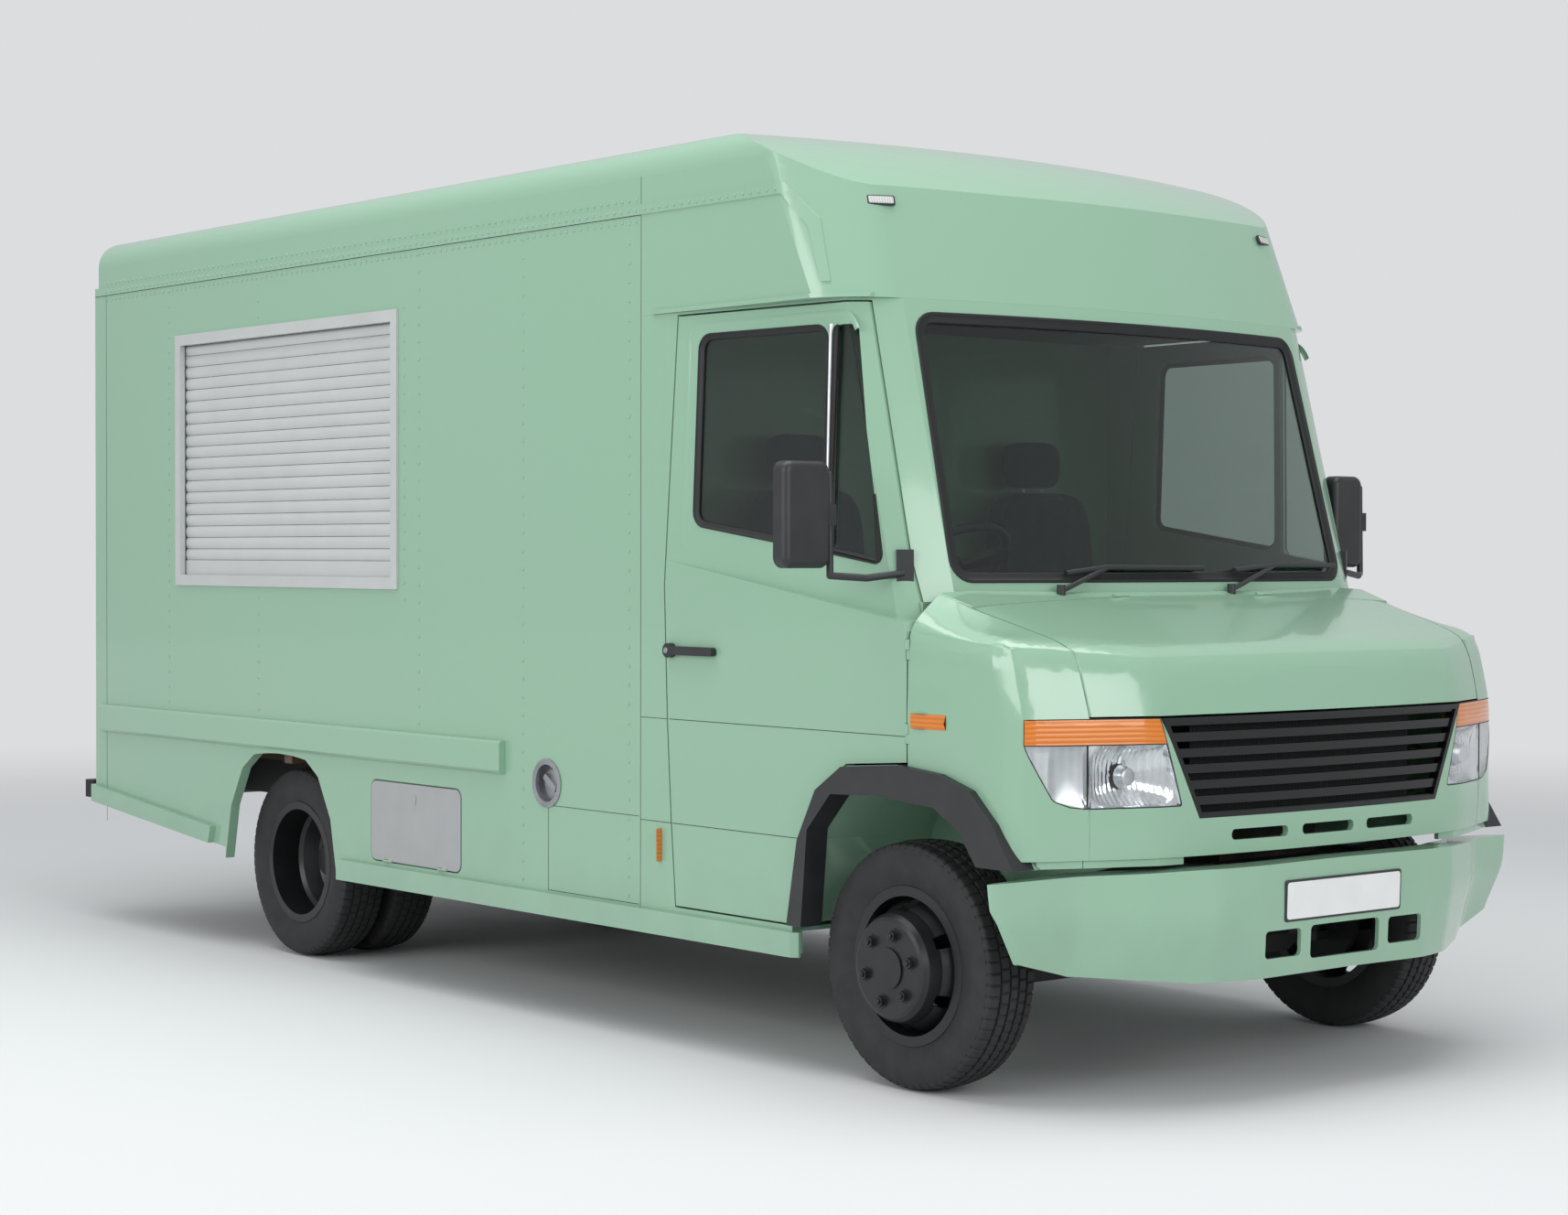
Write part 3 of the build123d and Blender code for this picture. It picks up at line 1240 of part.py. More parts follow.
# Cowl: fixed panel between the hood's hinge line and the windscreen
with BuildPart() as cowl_panel:
    add(nose_outer)
    add(nose_inner, mode=Mode.SUBTRACT)
    add(seam_prism(1380, 1700, hood_gap / 2 - seat_gap), mode=Mode.INTERSECT)
    add(cowl_space, mode=Mode.SUBTRACT)
    for x in (x_fender_start - 200, x_hood_rear - door_gap + 400):
        with Locations((at(x), 0, 1400)):
            Box(400 if x < 0 else 800, 2400, 800, mode=Mode.SUBTRACT)
    for spot in hood_hinges:
        add(hinge_notch(spot, (0, 1, 0), hood_hinge_radius, hood_hinge_height), mode=Mode.SUBTRACT)
        add(hinge_half(spot, (0, 1, 0), (-16, 0, -12), hood_hinge_radius, hood_hinge_height, False))
finish(cowl_panel, "cowl_panel")

# Strip set back under the nose, either side of the intake
strip_bottom = 712.0
intake_half = 590.0
with BuildPart() as strip:
    add(nose_inner)
    add(nose_inner.moved(Location((-16, 0, 0))), mode=Mode.SUBTRACT)
    with Locations((at(700), 0, (strip_bottom + nose_bottom + 30) / 2)):
        Box(400, 2060, nose_bottom + 30 - strip_bottom, mode=Mode.INTERSECT)
    with Locations((at(700), 0, 720)):
        Box(500, 2 * intake_half, 200, mode=Mode.SUBTRACT)

# Wings outboard of the seams, cut for the arch flare and the lamps
for side, hand in ((-1, "right"), (1, "left")):
    with BuildPart() as fender:
        add(nose_outer)
        add(nose_inner, mode=Mode.SUBTRACT)
        add(strip.part)
        add(seam_prism(400, 1700, hood_gap / 2), mode=Mode.SUBTRACT)
        with Locations((front_axle_x, side * 1500, 1000)):
            Box(3000, 3000, 3000, mode=Mode.INTERSECT)
        add(cowl_space, mode=Mode.SUBTRACT)
        with Locations((at(x_fender_start) - 100, 0, 1000)):
            Box(200, 2400, 1400, mode=Mode.SUBTRACT)
        add(on_side(side_prism(arch_outer, 700, 1310, seat_gap), side), mode=Mode.SUBTRACT)
        add(front_prism(mirrored_corners(lamp_corners, side), 0, 480), mode=Mode.SUBTRACT)
        add(front_prism(mirrored_corners(amber_corners, side), 0, 480), mode=Mode.SUBTRACT)
        for x, y, z in cab_hinges:
            spot = (x, side * abs(y), z)
            add(hinge_notch(spot, (0, 0, 1), cab_hinge_radius, cab_hinge_height), mode=Mode.SUBTRACT)
            add(hinge_half(spot, (0, 0, 1), (14, -side * 4, 0), cab_hinge_radius, cab_hinge_height, False))
    finish(fender, f"fender_{hand}")

# Front panel under the lamps and grille, with three cooling slots
with BuildPart() as front_panel:
    add(nose_outer)
    add(nose_inner, mode=Mode.SUBTRACT)
    add(strip.part)
    add(seam_prism(strip_bottom - 10, grille_top, hood_gap / 2 - 3), mode=Mode.INTERSECT)
    with Locations((at(200), 0, 1000)):
        Box(600, 2400, 1400, mode=Mode.SUBTRACT)
    for side in (-1, 1):
        add(front_prism(mirrored_corners(lamp_corners, side), 0), mode=Mode.SUBTRACT)
        add(front_prism(mirrored_corners(amber_corners, side), 0), mode=Mode.SUBTRACT)
    add(front_prism(grille_corners, 0), mode=Mode.SUBTRACT)
    with BuildSketch(Plane.YZ.offset(at(600))):
        with Locations((0, sum(slot_heights) / 2)):
            with GridLocations(slot_pitch, 1, 3, 1):
                RectangleRounded(slot_width, slot_heights[1] - slot_heights[0], 14)
    extrude(amount=300, mode=Mode.SUBTRACT)
finish(front_panel, "front_panel")

# Lamps fill their openings in the nose
lamp_depth = 58.0
lamp_gap = 0.5
nose_lamp_back = nose_outer.moved(Location((-lamp_depth, 0, 0)))
with BuildPart() as headlamps:
    for side in (-1, 1):
        with BuildPart(mode=Mode.PRIVATE) as lamp:
            add(nose_outer)
            add(nose_lamp_back, mode=Mode.SUBTRACT)
            add(front_prism(mirrored_corners(lamp_corners, side), -lamp_gap, 482), mode=Mode.INTERSECT)
        add(lamp.part)
finish(headlamps, "headlamps")

repeater = (64.0, 234.0, 1097.0, 1142.0)
side_marker = (-1178.0, -1146.0, 600.0, 708.0)
with BuildPart() as amber_lamps:
    for side in (-1, 1):
        with BuildPart(mode=Mode.PRIVATE) as lamp:
            add(nose_outer)
            add(nose_lamp_back, mode=Mode.SUBTRACT)
            add(front_prism(mirrored_corners(amber_corners, side), -lamp_gap, 482), mode=Mode.INTERSECT)
        add(lamp.part)
        for x0, x1, z0, z1 in (repeater, side_marker):
            with Locations((at((x0 + x1) / 2 + 8), side * (half_width + 9), (z0 + z1) / 2)):
                Box(x1 - x0 - 16, 17, z1 - z0)
finish(amber_lamps, "amber_lamps")

# Grille: frame with five long bars, set back a little between them
grille_depth = 34.0
grille_border = 16.0
bar_setback = 7.0
bar_height = 26.0
nose_grille_back = nose_outer.moved(Location((-grille_depth, 0, 0)))
nose_grille_bars = nose_outer.moved(Location((-bar_setback, 0, 0)))
with BuildPart() as grille:
    add(nose_outer)
    add(nose_grille_back, mode=Mode.SUBTRACT)
    add(front_prism(grille_corners, -lamp_gap), mode=Mode.INTERSECT)
    add(front_prism(grille_corners, -grille_border), mode=Mode.SUBTRACT)
    with BuildPart(mode=Mode.PRIVATE) as bars:
        add(nose_grille_bars)
        add(nose_grille_back, mode=Mode.SUBTRACT)
        add(front_prism(grille_corners, -grille_border / 2), mode=Mode.INTERSECT)
        pitch = (grille_top - grille_bottom - grille_border) / (grille_bars + 1)
        for row in range(grille_bars + 1):
            gap_low = grille_bottom + grille_border / 2 + bar_height / 2 + pitch * row - 3
            with Locations((at(700), 0, gap_low + (pitch - bar_height) / 2)):
                Box(600, 2400, pitch - bar_height, mode=Mode.SUBTRACT)
    add(bars.part)
finish(grille, "grille")


# Front bumper: pressed channel, its lower half raking back towards the corners
bumper_plan = ((515.0, 1190.0), (588.0, 913.0), (700.0, 752.0), (798.0, 530.0), (815.0, 380.0))
bumper_low_plan = ((470.0, 1165.0), (535.0, 895.0), (640.0, 742.0), (765.0, 520.0), (805.0, 375.0))
bumper_rake_height = 560.0
bumper_front = ((0.0, 706.0), (560.0, 702.0), (913.0, 688.0), (1190.0, 677.0), (1180.0, 600.0), (1085.0, 442.0),
                (913.0, 396.0), (590.0, 368.0), (0.0, 372.0))
bumper_edge = 14.0
bumper_flange = 90.0


def bumper_form(inset, low, high):
    def outline(plan):
        left = [(at(x) - inset, y - 0.4 * inset) for x, y in plan]
        left = [(left[0][0] - bumper_edge - inset, left[0][1]), *left]
        return [*left, *[(x, -y) for x, y in reversed(left)]]

    with BuildPart() as form:
        with BuildSketch(Plane.XY.offset(bumper_rake_height)):
            Polygon(*outline(bumper_plan), align=None)
        extrude(amount=high - bumper_rake_height)
        with BuildSketch(Plane.XY.offset(low)):
            Polygon(*outline(bumper_low_plan), align=None)
        with BuildSketch(Plane.XY.offset(bumper_rake_height)):
            Polygon(*outline(bumper_plan), align=None)
        loft(ruled=True)
    return form.part


with BuildPart() as bumper:
    add(bumper_form(0, 340, 720))
    add(bumper_form(bumper_wall, 330, bumper_front[3][1] - bumper_wall), mode=Mode.SUBTRACT)
    add(bumper_form(bumper_flange, 330, 730), mode=Mode.SUBTRACT)
    with BuildSketch(Plane.YZ.offset(at(bumper_low_plan[0][0]) - 40)):
        Polygon(*bumper_front, *[(-y, z) for y, z in reversed(bumper_front[1:-1])], align=None)
    extrude(amount=500, mode=Mode.INTERSECT)
    with BuildSketch(Plane.YZ.offset(at(650))):
        with Locations((0, 461)):
            RectangleRounded(316, 100, 16)
        with Locations((281, 466), (-281, 466)):
            RectangleRounded(158, 82, 14)
    extrude(amount=300, mode=Mode.SUBTRACT)
    # Arms back to the chassis rails
    for side in (-1, 1):
        arm_end = nose_reach - bumper_wall / 2
        with Locations((at((x_rail_front + seat_gap + arm_end) / 2), side * rail_y, 610)):
            Box(arm_end - x_rail_front - seat_gap, 40, 110)
finish(bumper, "bumper")


# Round bar through a chain of points, with a ball at each bend
def bar_through(chain, radius):
    with BuildPart() as bar:
        for start, end in zip(chain, chain[1:]):
            run = Vector(*end) - Vector(*start)
            with BuildSketch(Plane(start, z_dir=run)):
                Circle(radius)
            extrude(amount=run.length)
            with Locations(end):
                Sphere(radius)
    return bar.part


# Mirrors on the doors' front edges, and the doors' pull handles
mirror_head = (-180.0, -122.0, 1570.0, 1890.0)
mirror_arm_radius = 11.0
mirror_glass_depth = 4.0
mirror_chain = ((-46.0, 1024.0, 1555.0), (-80.0, 1140.0, 1541.0), (-145.0, 1228.0, 1548.0),
                (-150.0, 1228.0, 1850.0))
x0, x1, z0, z1 = mirror_head
for hand, y0, y1 in mirror_heads:
    with BuildPart() as mirror_side:
        head_middle = (-(y0 + y1) / 2, (z0 + z1) / 2)
        with Locations((at((x0 + x1) / 2), *head_middle)):
            Box(x1 - x0, y1 - y0, z1 - z0)
        fillet(mirror_side.edges().filter_by(Axis.X), 34)
        fillet(mirror_side.faces().sort_by(Axis.X)[-1].edges(), 22)
        with BuildSketch(Plane.YZ.offset(at(x0))):
            with Locations(head_middle):
                RectangleRounded(y1 - y0 - 20, z1 - z0 - 20, 26)
        extrude(amount=mirror_glass_depth, mode=Mode.SUBTRACT)
        add(bar_through([(at(x), -y, z) for x, y, z in mirror_chain], mirror_arm_radius))
        # Bracket screwed on the door, and the clamp half way up the arm
        with Locations(Location((at(-46), -1016, 1552), (0, 0, 54))):
            Box(52, 24, 150)
        with Locations((at(-150), -mirror_clamp_y, head_middle[1])):
            Box(32, mirror_clamp_width, 64)
        add(glasshouse(-seat_gap), mode=Mode.SUBTRACT)
    with BuildPart() as mirror_part:
        add(on_side(mirror_side.part, -1 if hand == "right" else 1))
    finish(mirror_part, f"mirror_{hand}")

handle = (-1112.0, -856.0, 1283.0, 1311.0, 22.0)
for side, hand in ((-1, "right"), (1, "left")):
    with BuildPart() as door_handle:
        x0, x1, z0, z1, proud = handle
        with BuildSketch(Plane.XZ.offset(-side * (half_width + seat_gap))):
            with Locations((at((x0 + x1) / 2), (z0 + z1) / 2)):
                RectangleRounded(x1 - x0, z1 - z0, 12)
            with Locations((at(x0 + 20), (z0 + z1) / 2)):
                Circle(24)
        extrude(amount=-side * proud)
    finish(door_handle, f"door_handle_{hand}")

# Wipers parked at the foot of the windscreen, both swept towards the left
wipers_table = (  # pivot, arm's end on its blade, and the blade's two ends
    ((142.0, -541.0, 1500.0), (128.0, -323.0, 1573.0), (116.0, -496.0, 1555.0), (140.0, 98.0, 1570.0)),
    ((168.0, 205.0, 1500.0), (111.0, 481.0, 1580.0), (136.0, 253.0, 1563.0), (51.0, 847.0, 1578.0)),
)
with BuildPart() as wipers:
    for pivot, arm_end, blade_start, blade_end in wipers_table:
        foot = (at(pivot[0]), pivot[1], pivot[2])
        with Locations(foot):
            Cylinder(14, 40)
        add(bar_through([foot, (at(arm_end[0]), arm_end[1], arm_end[2])], 8))
        add(bar_through([(at(x), y, z) for x, y, z in (blade_start, arm_end, blade_end)], 9))
    add(glasshouse(-seat_gap), mode=Mode.SUBTRACT)
    add(nose_outer.moved(Location((0, 0, seat_gap))), mode=Mode.SUBTRACT)
finish(wipers, "wipers")

# Dashboard, with the steering column's tube let into it
driver_y = -550.0
dash_half_width = 895.0
dash_profile = ((-seat_gap, 1240.0), (-seat_gap, 1462.0), (-70.0, 1484.0), (-255.0, 1468.0), (-330.0, 1400.0),
                (-300.0, 1265.0), (-130.0, 1240.0))
wheel_centre = (-380.0, driver_y, 1570.0)
wheel_tilt = (-0.6, 0.0, 0.8)
wheel_ring = 215.0
column_radius = 30.0
column_length = 330.0
with BuildPart() as dashboard:
    with BuildSketch(Plane.XZ.offset(-dash_half_width)):
        Polygon(*points_at(dash_profile), align=None)
    extrude(amount=2 * dash_half_width)
    fillet(dashboard.edges().filter_by(Axis.Y).sort_by(Axis.X)[:2], 20)
    column_plane = Plane((at(wheel_centre[0]), driver_y, wheel_centre[2]), z_dir=[-part for part in wheel_tilt])
    with BuildSketch(column_plane.offset(-20)):
        Circle(column_radius + shaft_clearance)
    extrude(amount=column_length + 24, mode=Mode.SUBTRACT)
finish(dashboard, "dashboard")

with BuildPart() as steering_wheel:
    ring_plane = Plane((at(wheel_centre[0]), driver_y, wheel_centre[2]), x_dir=(0, 1, 0), z_dir=wheel_tilt)
    with BuildSketch(Plane(ring_plane.origin, x_dir=ring_plane.x_dir, z_dir=ring_plane.y_dir)):
        with Locations((wheel_ring, 0)):
            Circle(15)
    revolve(axis=Axis(ring_plane.origin, ring_plane.z_dir))
    with BuildSketch(ring_plane.offset(-24)):
        Circle(62)
        for turn in (0, 120, 240):
            with Locations(Location((0, 0), turn + 90)):
                with Locations((wheel_ring / 2, 0)):
                    Rectangle(wheel_ring, 44)
    extrude(amount=22)
    with BuildSketch(column_plane.offset(10)):
        Circle(column_radius)
    extrude(amount=column_length - 10)
finish(steering_wheel, "steering_wheel")

# Seats on their pedestals
seat_width = 480.0
seat_low = cab_floor_top + seat_gap
cushion_profile = ((-1080.0, 1130.0), (-570.0, 1150.0), (-560.0, 1250.0), (-620.0, 1275.0), (-1080.0, 1245.0))
back_profile = ((-1075.0, 1215.0), (-960.0, 1235.0), (-1040.0, 1800.0), (-1075.0, 1835.0), (-1130.0, 1835.0),
                (-1160.0, 1790.0))
rest_profile = ((-1078.0, 1850.0), (-1070.0, 1990.0), (-1095.0, 2020.0), (-1150.0, 2015.0), (-1158.0, 1870.0))
for y, name in ((driver_y, "seat_driver"), (-driver_y, "seat_passenger")):
    with BuildPart() as seat:
        with Locations((at(-820), y, (seat_low + 1140) / 2)):
            Box(420, 400, 1140 - seat_low)
        for profile, width in ((cushion_profile, seat_width), (back_profile, seat_width - 20), (rest_profile, 260)):
            with BuildSketch(Plane.XZ.offset(-y - width / 2)):
                Polygon(*points_at(profile), align=None)
                fillet(vertices(), 14)
            extrude(amount=width)
        for rod in (-60, 60):
            with Locations((at(-1110), y + rod, 1842)):
                Cylinder(7, 90)
    finish(seat, name)
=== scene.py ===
import json
import math
import bmesh
import bpy
import numpy as np
from mathutils import Matrix, Vector


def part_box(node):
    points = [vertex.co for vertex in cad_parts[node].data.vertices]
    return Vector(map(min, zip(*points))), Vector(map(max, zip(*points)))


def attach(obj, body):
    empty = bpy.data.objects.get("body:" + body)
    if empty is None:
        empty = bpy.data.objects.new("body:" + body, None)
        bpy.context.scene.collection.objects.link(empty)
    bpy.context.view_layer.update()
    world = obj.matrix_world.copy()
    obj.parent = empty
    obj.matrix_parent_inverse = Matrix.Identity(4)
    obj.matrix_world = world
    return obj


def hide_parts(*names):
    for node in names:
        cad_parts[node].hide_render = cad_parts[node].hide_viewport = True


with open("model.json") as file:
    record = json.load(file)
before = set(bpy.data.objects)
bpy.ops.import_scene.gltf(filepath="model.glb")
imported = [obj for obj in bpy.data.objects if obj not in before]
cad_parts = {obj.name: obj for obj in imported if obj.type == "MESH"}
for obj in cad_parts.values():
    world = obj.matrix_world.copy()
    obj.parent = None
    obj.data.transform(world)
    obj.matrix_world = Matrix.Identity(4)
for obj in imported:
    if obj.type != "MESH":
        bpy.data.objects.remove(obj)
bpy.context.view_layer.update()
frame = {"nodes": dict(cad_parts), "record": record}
print("frame loaded")

frontAxle = 2307.5  # mm along the vehicle from the origin to the front axle
middleLine = 86.0  # mm across from the origin to the middle of the body
halfWidth = 1102.0
axleHeight = 376.5
rearAxle = -3700.0

# the photograph's viewpoint, solved from the vehicle's own straight edges
view = {
    "place": (8.7175, -6.704, 1.61),
    "yaw": 39.40,
    "pitch": -1.05,
    "roll": 0.12,
    "lens": 36.0 * 3140.0 / 1714.0,
}


def placeCamera():
    yaw, pitch, roll = (math.radians(view[key]) for key in ("yaw", "pitch", "roll"))
    forward = Vector((-math.cos(yaw) * math.cos(pitch), math.sin(yaw) * math.cos(pitch), math.sin(pitch)))
    right = Vector((math.sin(yaw), math.cos(yaw), 0.0))
    up = right.cross(forward)
    turned = Matrix((right, up, -forward)).transposed().to_4x4()
    data = bpy.data.cameras.new("camera")
    data.sensor_width = 36.0
    data.lens = view["lens"]
    camera = bpy.data.objects.new("camera", data)
    camera.matrix_world = Matrix.Translation(view["place"]) @ turned @ Matrix.Rotation(roll, 4, "Z")
    bpy.context.scene.collection.objects.link(camera)
    bpy.context.scene.camera = camera


placeCamera()


# an sRGB hex colour as linear red, green, blue and alpha
def linearColour(hexText):
    parts = [int(hexText[i:i + 2], 16) / 255.0 for i in (1, 3, 5)]
    return [p / 12.92 if p <= 0.04045 else ((p + 0.055) / 1.055) ** 2.4 for p in parts] + [1.0]


# one node with its settings; an input given as a socket is linked, anything else is set
def addNode(tree, kind, inputs=None, **settings):
    node = tree.nodes.new(kind)
    for key, value in settings.items():
        setattr(node, key, value)
    for key, value in (inputs or {}).items():
        if isinstance(value, bpy.types.NodeSocket):
            tree.links.new(value, node.inputs[key])
        else:
            node.inputs[key].default_value = value
    return node


# a new material with its shader, and the piece's own place as the pattern's coordinates
def startMaterial(name, settings):
    material = bpy.data.materials.new(name)
    material.use_nodes = True
    tree = material.node_tree
    tree.nodes.clear()
    shader = addNode(tree, "ShaderNodeBsdfPrincipled", settings)
    addNode(tree, "ShaderNodeOutputMaterial", {"Surface": shader.outputs[0]})
    place = addNode(tree, "ShaderNodeTexCoord").outputs["Object"]
    return material, tree, shader, place


# colour between a darker and a lighter tone by one grey pattern, and relief by another,
# whose depth is in millimetres
def dressShader(tree, shader, tone, limits, colours, relief=None, depth=0.0, strength=0.6):
    spread = addNode(tree, "ShaderNodeMapRange", {"Value": tone, "From Min": limits[0], "From Max": limits[1]})
    mix = addNode(tree, "ShaderNodeMix", {0: spread.outputs[0], 6: linearColour(colours[1]),
                                          7: linearColour(colours[0])}, data_type="RGBA")
    tree.links.new(mix.outputs[2], shader.inputs["Base Color"])
    if relief:
        bump = addNode(tree, "ShaderNodeBump", {"Height": relief, "Distance": depth / 1000.0, "Strength": strength})
        tree.links.new(bump.outputs[0], shader.inputs["Normal"])


bodyPaint = {"colours": ("#8cb298", "#84a790"), "roughness": 0.2, "coat": 0.6, "cloudSize": 260.0, "waveSize": 420.0,
             "waveDepth": 1.2, "paintedShadeFrom": 0.3, "paintedShadeTo": 0.95}


# acrylic enamel sprayed over sheet steel: one even pale green with a sharp clear sheen that
# wanders a little over the thin sheet, painted darker low down as painted shade
def makeBodyPaint():
    s = bodyPaint
    material, tree, shader, place = startMaterial("acrylicEnamel", {
        "Roughness": s["roughness"], "IOR": 1.5, "Coat Weight": s["coat"], "Coat Roughness": 0.05})
    height = addNode(tree, "ShaderNodeSeparateXYZ", {"Vector": place}).outputs["Z"]
    # painted shade: a height ramp added to a random cloud of tone, so the green darkens below 0.95 m and is darkest
    # under 0.3 m
    low = addNode(tree, "ShaderNodeMapRange", {"Value": height, "From Min": s["paintedShadeFrom"], "From Max": s["paintedShadeTo"]})
    cloud = addNode(tree, "ShaderNodeTexNoise", {"Vector": place, "Scale": 1000.0 / s["cloudSize"], "Detail": 4.0})
    cloudAndShade = addNode(tree, "ShaderNodeMath", {0: cloud.outputs["Fac"], 1: low.outputs[0]}, operation="ADD")
    wave = addNode(tree, "ShaderNodeTexNoise", {"Vector": place, "Scale": 1000.0 / s["waveSize"], "Detail": 1.0})
    dressShader(tree, shader, cloudAndShade.outputs[0], (0.35, 0.95), s["colours"], wave.outputs["Fac"], s["waveDepth"], 0.5)
    return material


# a plain finish: its colour clouded by a darker tone over patches of one size, and a fine
# relief of another; both sizes and the depth are in millimetres, stretch draws the relief out
def makeFinish(name, colours, settings, cloud, grain, depth, stretch=(1.0, 1.0, 1.0)):
    material, tree, shader, place = startMaterial(name, settings)
    patches = addNode(tree, "ShaderNodeTexNoise", {"Vector": place, "Scale": 1000.0 / cloud, "Detail": 3.0})
    drawn = addNode(tree, "ShaderNodeMapping", {"Vector": place, "Scale": stretch})
    fine = addNode(tree, "ShaderNodeTexNoise", {"Vector": drawn.outputs[0], "Scale": 1000.0 / grain, "Detail": 2.0})
    relief = fine.outputs["Fac"] if depth else None
    dressShader(tree, shader, patches.outputs["Fac"], (0.3, 0.7), colours, relief, depth)
    return material


# a moulded lens with pressed ribs across it, their spacing and depth in millimetres
def makeLens(name, colours, settings, spacing, depth, axis="Z"):
    material, tree, shader, place = startMaterial(name, settings)
    along = addNode(tree, "ShaderNodeSeparateXYZ", {"Vector": place}).outputs[axis]
    turn = addNode(tree, "ShaderNodeMath", {0: along, 1: 2000.0 * math.pi / spacing}, operation="MULTIPLY")
    wave = addNode(tree, "ShaderNodeMath", {0: turn.outputs[0]}, operation="SINE").outputs[0]
    dressShader(tree, shader, wave, (-1.0, 1.0), colours, wave, depth, 0.7)
    return material


# woven polyester: two sets of threads crossing on the slant, drawn 5 mm apart because the
# real 1 mm thread is too fine to show
def makeCloth(name, colours, thread):
    material, tree, shader, place = startMaterial(name, {"Roughness": 0.95, "Sheen Weight": 0.25,
                                                         "Sheen Roughness": 0.5})
    axes = addNode(tree, "ShaderNodeSeparateXYZ", {"Vector": place}).outputs
    waves = []
    for first, way in (("X", "ADD"), ("Z", "SUBTRACT")):
        across = addNode(tree, "ShaderNodeMath", {0: axes[first], 1: axes["Y"]}, operation=way)
        turn = addNode(tree, "ShaderNodeMath", {0: across.outputs[0], 1: 2000.0 * math.pi / thread},
                       operation="MULTIPLY")
        waves.append(addNode(tree, "ShaderNodeMath", {0: turn.outputs[0]}, operation="SINE").outputs[0])
    weave = addNode(tree, "ShaderNodeMath", {0: waves[0], 1: waves[1]}, operation="MULTIPLY").outputs[0]
    dressShader(tree, shader, weave, (-1.0, 1.0), colours, weave, 0.5)
    return material


